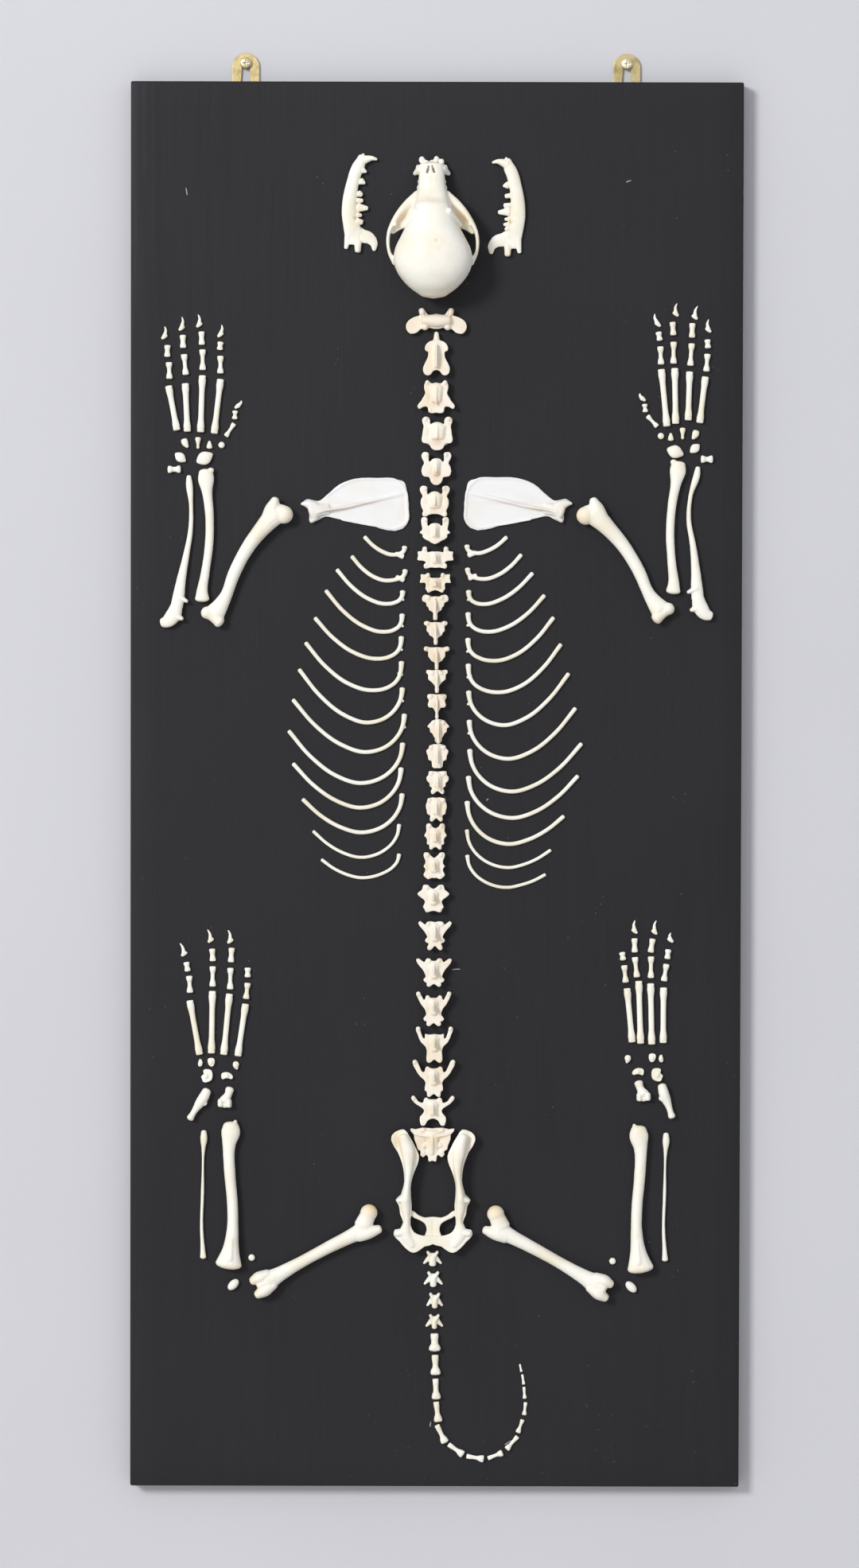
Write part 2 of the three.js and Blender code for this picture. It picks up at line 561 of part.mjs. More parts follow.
// Lower jaw lying on its side, from the front teeth down, with its lower border to +u
function jawPieces() {
  const teeth = [[-2.3, -18.2], [-1.3, -24.5], [-2.3, -29.7], [-5.7, -34.9], [-2.1, -43.3]];
  const roots = [[1.8, -17.5], [3.2, -23.5], [4, -29], [3.6, -35.5], [3.4, -43]];
  return [
    limb([[0.8, -1.6, 2.2, 1.8, 2], [1.6, -6, 2.4, 3.2, 2.3], [4.8, -17, 2.7, 4.1, 2.6],
      [6.6, -30, 2.7, 4.4, 2.6], [6.4, -40, 2.6, 4.7, 2.4], [3.4, -52, 1.9, 6.2, 1.6]]),
    limb([[2, -51, 1.6, 5.6, 1.2], [-7, -55.8, 1.4, 5, 1], [-10.6, -60.2, 1.3, 2.6, 0.9]]),
    limb([[3, -50, 2, 5.4, 1.6], [2.4, -59, 1.8, 5.2, 1.4]]),
    limb([[0, -58, 2, 2.4, 1.9], [-0.6, -62.8, 2.4, 1.8, 2.1]], FEW_SIDES),
    limb([[6.6, -52, 2, 2.8, 1.6], [7.4, -61.4, 1.7, 1.4, 1.2]], FEW_SIDES),
    limb([[0.4, -4.4, 2.8, 2.7, 2.2], [-9.2, -3.2, 3, 0.9, 1]], FEW_SIDES),
    limb([[0.4, -2, 2.6, 1.4, 1.4], [-1.4, 0, 2.4, 0.9, 0.9]], FEW_SIDES),
    teeth.map((tip, index) => {
      const big = index === 3 ? 1.6 : 1;
      const root = [...roots[index], 2.8, 2.6 * big, 1.5];
      return limb([root, [...tip, 2.8, 1.1 * big, 0.9]], FEW_SIDES);
    }),
  ];
}
addBone("mandible_left", mirrored(jawPieces().flat(Infinity)), [-48.7, 412.4], -2.4);
addBone("mandible_right", jawPieces(), [45.3, 410.2], 0.2);

// First neck bone with its two wide wings
function atlasPieces() {
  const wings = symmetric([
    [0, 4.8], [5.6, 4.4], [7.8, 7.4], [9.8, 8.6], [11.6, 7.4], [10.4, 4.4], [15, 2.4], [19, -0.6],
    [19.8, -4.4], [17.4, -8], [13, -7.6], [9.4, -5], [7.6, -5.8], [4.6, -4.2], [0, -5],
  ]);
  return [
    plate(wings, 2.4, 2.4),
    limb([[-8, 0.6, 4.6, 3.4, 4], [0, 0.2, 5, 4.2, 4.4], [8, 0.6, 4.6, 3.4, 4]]),
  ];
}
addBone("atlas", atlasPieces(), [-0.4, 303.8], 0, PINKISH);

// Second neck bone with its tooth at the top and a crest along its back
function axisPieces() {
  const outline = symmetric([
    [0, 8], [2.6, 8.2], [6.4, 6], [7.6, 2.8], [7, 1.4], [5.6, 1], [5.6, -2.6], [7.2, -6], [8.8, -10.4],
    [7.8, -13.6], [5.8, -14.6], [3.6, -13.8], [0, -11],
  ]);
  return [
    plate(outline, 3.2, 3.2),
    limb([[0, -9, 3.6, 5, 3.3], [0, 3, 3.8, 5, 3], [0, 9, 3.6, 2.2, 2.2], [0, 13.2, 3.2, 1.4, 1.6]]),
    limb([[0, -9, 8, 1.2, 2], [0, -3, 8.4, 1, 3.2], [0, 5, 7.6, 0.8, 2]], FEW_SIDES),
  ];
}
addBone("axis", axisPieces(), [-0.3, 283], 0, PINKISH);

// A vertebra seen from its back, from the right half of its outline: the arch with its horns, arms
// and lobes is a plate, with the bone's round body under it and its spine on top
const ARCH_LOW = 0.3;
const ARCH_HIGH = 0.4;
const BODY_HIGH = 0.3;
const BODY_SHARE = 0.8;
const WAIST_BAND = 4.2;
function vertebraPieces(high, [spineRise, spineHigh], half) {
  const top = half[0][1];
  const low = half[half.length - 1][1];
  const waist = Math.min(...half
    .filter(([u, v]) => u > 0 && Math.abs(v - (top + low) / 2) < WAIST_BAND)
    .map(([u]) => u));
  const body = [high * BODY_HIGH, waist * BODY_SHARE, high * BODY_HIGH];
  return [
    plate(symmetric(half), high * ARCH_LOW, high * ARCH_HIGH),
    limb([[0, Math.max(low + 2, -6.4), ...body], [0, top - 2.6, ...body]]),
    limb([[0, top - 3, high * 0.66, 1.4, high * 0.2],
      [0, spineRise, high * spineHigh, 0.8, 0.9]], FEW_SIDES),
  ];
}

// Name, place, height, rise and height of the spine's tip, and the right half of the outline from the top
const NECK = [
  ["cervical_3", [-0.4, 254.8], 10, [-5, 0.9],
    [[0, 9.1], [3.2, 8.4], [5.8, 10.5], [7.3, 9.1], [7.1, 2], [8.9, -1.2], [12.3, -6.4], [11.1, -8.3],
      [8.4, -6.8], [5.6, -6.9], [4, -10.8], [0, -10.6]]],
  ["cervical_4", [0.3, 230.8], 10, [-3, 0.9],
    [[0, 7.4], [4.5, 5.4], [4.6, 8.4], [5.8, 10.4], [7.6, 10.8], [9.6, 9.6], [8.9, 5], [10, -5.3],
    [8.6, -6.5],
      [5.6, -6.6], [3.8, -9.7], [0, -11]]],
  ["cervical_5", [-0.2, 207.4], 10, [-2, 0.95],
    [[0, 7.2], [4.4, 4.6], [4.9, 9], [6.2, 11], [8.6, 11], [9.8, 9], [7.9, 4], [9.2, 1.6], [9.2, -3.6],
      [7.9, -4.8], [4.6, -5.2], [3.7, -8], [0, -10.4]]],
  ["cervical_6", [-1.2, 186], 10, [-2, 1],
    [[0, 7], [4.4, 4.4], [4.9, 8.6], [6.2, 10.4], [8.6, 10.4], [9.8, 8.6], [7.9, 3.8], [9, 1.6], [8.8, -3],
      [6.9, -9.6], [3.4, -8.2], [0, -7.8]]],
  ["cervical_7", [-1, 167.2], 10.5, [-3, 1.05],
    [[0, 5.1], [4.8, 2.2], [5.1, 7.4], [6.2, 8.8], [8.2, 8.8], [9.1, 7], [8.4, 0.4], [9.9, -0.8],
    [9.6, -1.8],
      [8, -4.2], [0, -8.7]]],
];
const CHEST = [
  ["thoracic_1", [-0.7, 149.5], 10.5, [-2, 1.2],
    [[0, 4.2], [5.2, 3.4], [5.6, 6.6], [6.8, 7.5], [8.4, 6.8], [8.6, 4.4], [11.6, 4.2], [11.8, -1.4],
      [6.4, -2.6], [6.4, -7], [0, -6.4]]],
  ["thoracic_2", [-0.7, 133.4], 10, [-2, 1.2],
    [[0, 3.2], [3.8, 3.6], [4.8, 6.4], [5.6, 5.2], [9.6, 5.6], [10.2, -0.2], [6.6, 0], [6.4, -4.4],
    [4.4, -6.6],
      [0, -5]]],
  ["thoracic_3", [-0.7, 117.6], 9.5, [-8.2, 1.3],
    [[0, 7], [7.4, 7.8], [8.6, 6], [8.2, 3.6], [6, 2.8], [5.6, 0.4], [4.2, -2], [1.3, -4],
    [1.3, -8.4], [0, -8.6]]],
  ["thoracic_4", [-0.4, 101.2], 9.5, [-8, 1.3],
    [[0, 6.6], [5.4, 7.2], [7.6, 6.6], [7.6, 4.8], [5.8, 3.8], [6, 0.6], [4.2, -2], [1.2, -4.4],
    [1.1, -8.2],
      [0, -8.4]]],
  ["thoracic_5", [0.3, 84.8], 9.5, [-7.8, 1.2],
    [[0, 6.6], [7, 7], [7.2, 4.8], [5.6, 3.6], [5.6, 0.6], [3.2, -2.6], [1.2, -3.6], [1.1, -8],
    [0, -8.2]]],
  ["thoracic_6", [0.5, 69.6], 9.5, [-7.8, 1.2],
    [[0, 7], [6.8, 6.8], [6.9, 4.6], [5.8, 4], [5.8, 0.8], [2.8, -1.8], [1.2, -4], [1.1, -8], [0, -8.2]]],
  ["thoracic_7", [0.5, 53.4], 9.5, [-8.6, 1.1],
    [[0, 7], [6.2, 6.8], [5.2, 3.4], [6, 0.4], [5, -1.6], [3.2, -1.4], [0.9, -5.2], [0.8, -9], [0, -9.2]]],
  ["thoracic_8", [1.5, 36.4], 9.5, [-7.6, 1.1],
    [[0, 8], [3.4, 7.2], [7.2, 2.8], [5.6, 2], [5.4, -0.6], [3, -3.6], [1.2, -5.4], [1, -8], [0, -8.2]]],
  ["thoracic_9", [0.9, 20], 9.5, [-6, 1.1],
    [[0, 8], [4.2, 7.4], [5.4, 5.2], [7.1, 4.2], [5.8, -2.4], [3.8, -3], [3.4, -6.8], [0, -7.8]]],
  ["thoracic_10", [1.1, 3], 9.5, [-4, 1.1],
    [[0, 7], [5.8, 7.2], [7.2, 3.6], [6.8, 0.8], [5.2, -2.6], [3.4, -3.6], [4.2, -6.4], [3.2, -7.8],
    [0, -5.6]]],
  ["thoracic_11", [0.3, -14.8], 9.5, [-3, 1.1],
    [[0, 7.8], [4.6, 7.6], [6.9, 2.4], [5.8, -3], [3.8, -3.8], [4.2, -6.6], [3, -8], [0, -5.6]]],
  ["thoracic_12", [-0.2, -32.4], 10, [-3, 1.15],
    [[0, 5.4], [4, 8.6], [5.8, 8.2], [6, 3], [7.4, 0.6], [5.4, -2.4], [5.6, -5], [4, -5.4], [4, -8],
    [2.6, -8.6],
      [0, -6.8]]],
  ["thoracic_13", [-1, -51.6], 10, [-2, 1.2],
    [[0, 5.2], [4.4, 8.8], [6.6, 8.6], [5.8, 3.6], [7.1, -0.2], [5.8, -1.8], [7.1, -6], [3.8, -8.8],
    [0, -8]]],
];
const LOINS = [
  ["lumbar_1", [-1.5, -73], 10.5, [0, 1.3],
    [[0, 6.4], [4, 9], [6.6, 8.8], [7.4, 5.8], [10.6, 3.2], [5.6, -1.4], [6.8, -5.6], [4.4, -9], [0, -8]]],
  ["lumbar_2", [-0.4, -97.4], 10.5, [0, 1.35],
    [[0, 9], [4.4, 9.4], [6.6, 7.4], [9.6, 9.7], [11, 8.5], [5.6, 0.8], [5, -1], [6.6, -2.8],
    [4, -4.8], [5, -8.2],
      [3.8, -9.5], [0, -6.4]]],
  ["lumbar_3", [-1, -121.4], 11, [0, 1.35],
    [[0, 7.6], [3.2, 9.3], [5, 9], [6.2, 6.6], [9.8, 9.2], [11.6, 8.8], [10.8, 6], [5.4, -3], [6.9, -4.4],
      [4.6, -6.6], [3.2, -9.4], [0, -7.4]]],
  ["lumbar_4", [-1.1, -145], 11, [0, 1.35],
    [[0, 7], [3.6, 8.8], [5.2, 8.2], [5.8, 4.6], [10, 11.2], [11.6, 10.2], [8, 2.4], [5.8, -0.4],
    [5, -4.4],
      [6.8, -6.6], [4.4, -8.4], [3.2, -11.6], [0, -9.4]]],
  ["lumbar_5", [-0.6, -168.9], 11, [0, 1.3],
    [[0, 7.2], [6.2, 7.6], [6.2, 3.8], [7.6, 4.8], [10.6, 12.2], [12.2, 11.2], [8.6, 1.6], [5, -3.4],
    [5.2, -8],
      [3.6, -11.8], [0, -9.4]]],
  ["lumbar_6", [-0.9, -190.9], 11, [0, 1.25],
    [[0, 6.6], [4, 8], [5.6, 7], [6.2, 4], [8, 4.8], [12.6, 12.4], [13.9, 10.8], [9, 1.4], [5.4, -3],
    [6, -7.6],
      [3.2, -12.2], [0, -10]]],
  ["lumbar_7", [-1.5, -211.9], 10.5, [-1, 1.15],
    [[0, 7.4], [4.2, 8.6], [6.4, 5], [9.6, 6], [12.8, 9.8], [14.2, 9], [11.2, 4.4], [5.8, 0.2],
    [8.4, -4.2],
      [7, -10], [3.8, -7], [0, -5.2]]],
];
for (const [name, place, high, spine, half] of [...NECK, ...CHEST, ...LOINS]) {
  addBone(name, vertebraPieces(high, spine, half), place, 0, PINKISH);
}

// Sacrum: three bones grown together, with wings at the top
function sacrumPieces() {
  const outline = symmetric([
    [0, 10.4], [7, 10.8], [11, 9.8], [14.4, 10.2], [14, 8.4], [12.2, 6.6], [11.9, 3.4], [9.7, -3.4],
    [7.6, -4.6], [8, -6.8], [5.9, -8.5], [3.8, -6.8], [2.8, -8.6], [2.4, -11.4], [0, -10.8],
  ]);
  return [
    plate(outline, 2.2, 3.4),
    limb([[0, -6, 3.4, 3.6, 3], [0, 7.6, 4.2, 6, 3.9]]),
    limb([[0, -6, 6, 0.8, 1.4], [0, 1, 7.2, 0.9, 1.8], [0, 6, 7.2, 0.8, 1.4]], FEW_SIDES),
    limb([[-11, 6.8, 5.2, 1, 1.4], [0, 5.2, 6.8, 1, 1.2], [11, 6.8, 5.2, 1, 1.4]], FEW_SIDES),
  ];
}
addBone("sacrum", sacrumPieces(), [-1.8, -234.1], 0, PINKISH);

// Pelvis lying on its under side, the hip blades upward
function pelvisPieces() {
  const hipPlate = [
    [22, 40.2], [19, 40.6], [16, 36.8], [11.4, 28.3], [9.3, 23.2], [10.2, 18], [14.4, 5.4], [14.8, -1.4],
    [14.2, -12], [14.8, -22], [12.6, -26.6], [8.1, -28.8], [-0.4, -29.4], [-0.4, -34.4], [5.5, -36.1],
    [10.2, -39.5], [13.1, -40.3], [17.4, -37.8], [25.8, -28.5], [25, -25.1], [19.8, -24.2], [19.4, -20.8],
    [22.5, -9], [24.6, -5.6], [19.5, 2], [19.1, 11.4], [20.3, 18.1], [23.3, 25.8], [27.5, 33.4],
    [27.1, 36.8],
  ];
  const floorPlate = [
    [-0.4, -17], [5.5, -17.5], [9.7, -15.8], [14, -12.8], [14.6, -15.8], [9, -19], [5.2, -21.6],
    [4.2, -26], [5.4, -29.6], [-0.4, -31],
  ];
  const half = [
    plate(hipPlate, 5.6, 3),
    plate(floorPlate, 2.4, 3.8),
    limb([[20.4, 36.4, 10.6, 3.4, 2.6], [17, 27, 10.8, 4.4, 3], [16, 15, 10, 2.8, 3.6],
      [18, -5, 7, 3.6, 6.8], [17.4, -19, 7, 2.2, 3.6], [17, -28, 7.4, 4.2, 3], [13.6, -35.6, 7, 3, 2.6]]),
    limb([[20, -27, 8, 2.6, 2.6], [24, -27.6, 9, 1.8, 1.8]], FEW_SIDES),
    limb([[20, -5, 10, 2.6, 2.6], [23.4, -5.8, 10.4, 1.2, 1.6]], FEW_SIDES),
    limb([[14.6, -31, 6.4, 2.4, 2.2], [0, -32.2, 4.6, 2.4, 2.2]], FEW_SIDES),
  ];
  return [bothSides(half), limb([[0, -19, 2.8, 2.6, 2.8], [0, -33, 3.6, 2.6, 2.6]], FEW_SIDES)];
}
addBone("pelvis", pelvisPieces(), [-1.2, -264.8]);

// Shoulder blade, its socket at the origin and its long border towards -u
function scapulaPieces() {
  const outline = [
    [-2.8, 8.2], [-6.2, 7.6], [-11.9, 11.6], [-19.9, 18.4], [-30, 22.2], [-44.9, 22.8], [-56.3, 22],
    [-62.6, 20], [-64.4, 11], [-65.6, 6.6], [-65, -1], [-64.8, -6.6], [-61.4, -10.4],
    [-47, -10.4], [-43.8, -9.2], [-30, -6.6], [-17.6, -3.8], [-10.8, -2.6], [-6, -5],
    [-1.1, -6.8], [0, 2.5], [4.6, 5.4], [1.1, 8.8],
  ];
  return [
    plate(outline, GAP, 1.4),
    limb([[-13, 2.4, 2, 3.6, 1.7], [-6, 1.4, 3, 4.2, 2.8], [-2, 0, 3.2, 5.4, 3.2]]),
    limb([[-5, 3.6, 3, 3, 2.4], [-0.6, 5.2, 3, 3, 2.4], [4, 5.6, 3, 1.2, 1.4]], FEW_SIDES),
    limb([[-62, 12.6, 1.4, 1.5, 0.7], [-44, 8.4, 2, 1.2, 1.2], [-24, 3.6, 2.8, 1.1, 2],
      [-8, 0.8, 4, 1.3, 2.2], [-4.6, 0, 5, 1.8, 1.4]], FEW_SIDES),
  ];
}
addBone("scapula_left", mirrored(scapulaPieces().flat(Infinity)), [-83.6, 179], 0, COOL_WHITE);
addBone("scapula_right", scapulaPieces(), [83.6, 179.6], 0, COOL_WHITE);

// Upper arm bone, its head at the top towards -u
function humerusPieces() {
  return [
    knob([-4.4, -1.4, 6.4], [6, 6, 5.6]),
    limb([[-4.4, -0.6, 6, 5.6, 5], [2, -7, 6, 6.6, 5]], FEW_SIDES),
    limb([[5.6, 4.2, 6, 2.6, 3.6], [4.2, -1, 6.2, 4.8, 5], [3, -8, 6, 5, 5]]),
    limb([[0.4, -3, 6.2, 7.2, 5.4], [2.6, -14, 6, 5.6, 5], [4.6, -30, 5.2, 4.5, 4.5],
      [3.4, -52, 4.6, 4.1, 4.1], [0.6, -66, 4.6, 4, 4], [0.4, -75, 4.8, 5.6, 4.2],
      [0.8, -80, 5, 6.8, 4.4]], MANY_SIDES),
    limb([[-5.6, -83, 5, 3.8, 4.6], [0.4, -82.6, 4.8, 3.3, 4.2], [6.6, -81.4, 5, 4.1, 4.6]], MANY_SIDES),
  ];
}
addBone("humerus_left", mirrored(humerusPieces().flat(Infinity)), [-102.6, 181], -31.2);
addBone("humerus_right", humerusPieces(), [100, 181], 35);

// Forearm bones: the paw's end is up
function radiusPieces(bow) {
  return [
    limb([[0, 84.6, 3.4, 4.6, 3], [0, 80, 3.6, 5.3, 3.2], [bow * 0.3, 72, 3.2, 3.6, 2.9],
      [bow, 58, 3, 2.9, 2.6],
      [bow * 0.9, 38, 3, 2.8, 2.6], [bow * -0.5, 18, 3, 2.9, 2.7], [bow * -1.5, 6, 3.4, 3.8, 3],
      [bow * -1.5, 1.4, 3.6, 4.8, 3.2]],
    MANY_SIDES),
  ];
}
addBone("radius_left", radiusPieces(2), [-150, 121], 0.4);
addBone("radius_right", radiusPieces(-2), [151.6, 127], -4.2);

// Ulna with its notch to +u and the elbow's point at the foot, towards -u
function ulnaPieces(sway) {
  return [
    limb([[0, 100, 2, 1.6, 1.6], [0.2, 96, 2.2, 2.2, 1.9], [0.8 + sway, 82, 2, 1.4, 1.5],
      [0.6 + sway, 66, 2, 1.6, 1.6], [-1.6, 49, 2.4, 2.1, 2], [-5, 32, 3, 3.1, 2.6], [-6.6, 22, 3.4, 3.9, 3],
      [-7.8, 15, 3.4, 4.1, 3]]),
    limb([[-6.4, 21.6, 4, 2.4, 3.2], [-1, 18.4, 4.4, 1.1, 2.6]], FEW_SIDES),
    limb([[-7.8, 16, 3.6, 3.9, 3.2], [-10, 9.6, 3.8, 5, 3.3], [-14.4, 5.2, 3.6, 4.1, 2.8],
      [-17.4, 4.4, 3.4, 3, 2.2]]),
    limb([[-9.4, 9.4, 4, 3.4, 3], [-4, 7, 4.2, 1.2, 2.4]], FEW_SIDES),
  ];
}
addBone("ulna_left", ulnaPieces(0.6), [-161.8, 102.4]);
addBone("ulna_right", mirrored(ulnaPieces(2.2).flat(Infinity)), [161.6, 109.2], -5.2);

// Thigh bone, its head at the top towards +u
function femurPieces() {
  return [
    knob([6.6, 5.2, 5.9], [5.7, 5.7, 5.5]),
    limb([[5.6, 4, 5.8, 5.2, 4.6], [1, -2.4, 5.8, 6, 4.8]], SOME_SIDES),
    limb([[-6, 6, 5.6, 2.8, 3.8], [-4.6, -1, 5.8, 4.4, 4.8], [-2.6, -8, 5.4, 4.8, 4.6]], MANY_SIDES),
    limb([[-1.6, -1, 5.6, 6.4, 4.6], [-1.2, -11, 5.2, 4.9, 4.5], [-0.4, -28, 4.8, 4.1, 4.2],
      [0, -56, 4.8, 4.2, 4.2], [0, -68, 5.2, 5.4, 4.6], [0, -75, 5.8, 7, 5]], MANY_SIDES),
    limb([[4, -72, 5.6, 3, 4.4], [4.6, -79, 6, 4.1, 5.6], [4.8, -83.4, 5.8, 2.8, 4]], SOME_SIDES),
    limb([[-4, -72, 5.6, 3, 4.4], [-4.4, -80, 6, 4.2, 5.6], [-4.6, -85, 5.8, 2.8, 4]], SOME_SIDES),
    limb([[0, -70, 6.4, 4, 4], [0, -80.5, 7.4, 3.8, 3.4]], FEW_SIDES),
  ];
}
addBone("femur_left", mirrored(femurPieces().flat(Infinity)), [-44.6, -287.4], -60.6);
addBone("femur_right", femurPieces(), [41, -288], 59.8);

// Shin bones: the ankle's end is up and the knee's end down
function tibiaPieces() {
  return [
    limb([[0.6, 95, 4, 5, 3.6], [0.6, 91.5, 4.2, 6.2, 3.8], [-0.6, 82, 4, 4.4, 3.6], [0, 62, 4, 3.7, 3.6],
      [1.6, 44, 4.2, 3.6, 3.8], [1.8, 26, 4.6, 3.9, 4.2], [0.6, 13, 5.4, 5.6, 5],
      [-0.8, 3.4, 6, 8.8, 5.4]], MANY_SIDES),
    limb([[3, 94, 4, 2, 2.6], [3.6, 97.6, 4, 1, 1.6]], FEW_SIDES),
    limb([[1.4, 20, 7.4, 1.6, 2.6], [0.4, 7, 9, 2.4, 3]], FEW_SIDES),
  ];
}
addBone("tibia_left", tibiaPieces(), [-134.4, -316.6]);
addBone("tibia_right", mirrored(tibiaPieces().flat(Infinity)), [134, -318.6]);

function fibulaPieces() {
  return [
    limb([[0, 84, 2, 1.8, 1.7], [0, 79.6, 2.2, 2.3, 1.9], [0.3, 73, 1.8, 1.3, 1.5],
      [0.8, 45, 1.7, 1.1, 1.4],
      [1.4, 20, 1.7, 1.1, 1.4], [0.6, 6, 1.9, 1.6, 1.6], [0.4, 1.4, 2.1, 2.1, 1.8]]),
  ];
}
addBone("fibula_left", mirrored(fibulaPieces()), [-151.6, -310.4]);
addBone("fibula_right", mirrored(fibulaPieces()), [151.4, -311.4]);

const kneecap = () => [knob([0, 0, 2.4], [4.6, 2.8, 2.5], 7, 4)];
addBone("patella_left", kneecap(), [-132.2, -326.9], 45);
addBone("patella_right", kneecap(), [128.8, -327.8], -45);

// Heel bone with its body at the top, and ankle bone with its head at the top
function heelPieces() {
  return [
    limb([[0.2, 0.2, 3.4, 2.9, 3.2], [0.5, -4.6, 3.8, 3.4, 3.6], [0.3, -9, 3.4, 3.2, 3.1], [0, -15, 3, 2, 2.6],
      [0, -20.8, 3.2, 2.5, 2.8]]),
    limb([[1, -7, 3.6, 2.3, 2.6], [3.7, -7.6, 3.4, 1.7, 1.9]], FEW_SIDES),
  ];
}
addBone("calcaneus_left", heelPieces(), [-149.9, -199.6], -30.6);
addBone("calcaneus_right", mirrored(heelPieces().flat(Infinity)), [148.8, -195.8], 17.7);

function anklePieces() {
  return [
    limb([[3.2, 7.8, 3, 2.9, 2.7], [2.2, 4.4, 3, 2.5, 2.6], [0, 0.6, 3.6, 3.6, 3.3]]),
    limb([[-2.8, 0.6, 3.8, 1.9, 3.5], [-2.8, -2.8, 3.8, 2, 3.5]], FEW_SIDES),
    limb([[2.7, 0.2, 3.8, 1.9, 3.5], [2.7, -3.2, 3.8, 1.9, 3.5]], FEW_SIDES),
    limb([[0, 1, 3, 3, 2.7], [0, -3, 3, 2.6, 2.5]], FEW_SIDES),
  ];
}
addBone("talus_left", anklePieces(), [-137.8, -206.2]);
addBone("talus_right", mirrored(anklePieces().flat(Infinity)), [136.4, -201.4]);

export default object;
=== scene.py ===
"""Skeleton of a small dog, laid out bone by bone on a black board that hangs on a wall.

Bones are drawn in millimetres on the board's face: u to the right, v up from its middle, h out from it.
"""

import math
import random

import bpy
import numpy as np
from mathutils import Euler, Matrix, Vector


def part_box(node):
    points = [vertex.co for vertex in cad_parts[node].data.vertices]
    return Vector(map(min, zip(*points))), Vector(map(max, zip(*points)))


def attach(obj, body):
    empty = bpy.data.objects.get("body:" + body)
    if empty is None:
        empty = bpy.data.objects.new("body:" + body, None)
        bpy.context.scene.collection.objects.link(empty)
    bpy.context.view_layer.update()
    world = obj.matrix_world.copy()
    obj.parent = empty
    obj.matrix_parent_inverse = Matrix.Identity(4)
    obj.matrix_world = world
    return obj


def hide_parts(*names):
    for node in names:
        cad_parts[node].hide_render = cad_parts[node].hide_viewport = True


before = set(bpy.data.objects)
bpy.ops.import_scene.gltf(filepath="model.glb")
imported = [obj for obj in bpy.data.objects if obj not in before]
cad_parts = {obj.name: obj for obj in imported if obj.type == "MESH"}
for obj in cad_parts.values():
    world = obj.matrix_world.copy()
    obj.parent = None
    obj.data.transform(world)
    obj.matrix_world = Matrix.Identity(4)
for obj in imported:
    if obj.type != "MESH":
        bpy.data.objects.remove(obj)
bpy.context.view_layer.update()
random.seed(7)

MM = 0.001
BOARD_LOW, BOARD_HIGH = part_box("board")
PLATE_LOW, PLATE_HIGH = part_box("hanger_left")
BOARD_BACK = -BOARD_HIGH.y / MM
BOARD_THICKNESS = 12
BOARD_FACE = BOARD_BACK + BOARD_THICKNESS
BOARD_WIDTH = (BOARD_HIGH.x - BOARD_LOW.x) / MM
BOARD_HEIGHT = (BOARD_HIGH.z - BOARD_LOW.z) / MM
BOARD_ROUNDING = 1.2
BOARD_COLUMNS, BOARD_ROWS = 24, 56
PLATE_THICKNESS = round((PLATE_HIGH.y - PLATE_LOW.y) / MM, 2)
HANG_RISE = 473
HANG_PLACES = {"left": -125.5, "right": 124}
SIDES = ("left", "right")

# Where the under side of a bone lies: a little off the board, or just inside its paint where it is glued on
GAP, GLUED_FLOOR = 0.3, -0.1
# How finely bones are remeshed, in millimetres, and what share of the faces stays
FINE, MIDDLE, COARSE = 0.36, 0.42, 0.5
KEPT_SHARE = 0.55
# Edges sharper than this are shaded sharp on wood and on brass
WOOD_SHARP, BRASS_SHARP = math.radians(40), math.radians(35)

# ---- Shapes: each part is a pair of arrays, points in (u, v, h) and faces as tuples ----


def splined(rows, steps):
    """Rows of numbers, with more rows on a smooth curve through them."""
    rows = np.array(rows, float)
    if len(rows) < 3:
        share = np.linspace(0, 1, steps + 1)[:, None]
        return rows[0] + (rows[-1] - rows[0]) * share
    gaps = np.maximum(np.linalg.norm(np.diff(rows[:, :3], axis=0), axis=1), 1e-6)
    slopes = np.diff(rows, axis=0) / gaps[:, None]
    tangents = np.empty_like(rows)
    tangents[0], tangents[-1] = slopes[0], slopes[-1]
    before, after = gaps[:-1, None], gaps[1:, None]
    tangents[1:-1] = (slopes[:-1] * after + slopes[1:] * before) / (before + after)
    made = []
    for index, gap in enumerate(gaps):
        for step in range(steps):
            t = step / steps
            made.append((2 * t**3 - 3 * t**2 + 1) * rows[index] + (t**3 - 2 * t**2 + t) * gap * tangents[index]
                        + (3 * t**2 - 2 * t**3) * rows[index + 1] + (t**3 - t**2) * gap * tangents[index + 1])
    made.append(rows[-1])
    return np.array(made)


def skin(rings, first_tip, last_tip):
    """A closed body through rings of points, with a point at each end."""
    sides = len(rings[0])
    points = np.concatenate([*rings, [first_tip], [last_tip]])
    faces = []
    for ring in range(len(rings) - 1):
        for side in range(sides):
            a = ring * sides + side
            b = ring * sides + (side + 1) % sides
            faces.append((a, b, b + sides, a + sides))
    last = (len(rings) - 1) * sides
    for side in range(sides):
        after = (side + 1) % sides
        faces.append((after, side, len(points) - 2))
        faces.append((last + side, last + after, len(points) - 1))
    return points, faces


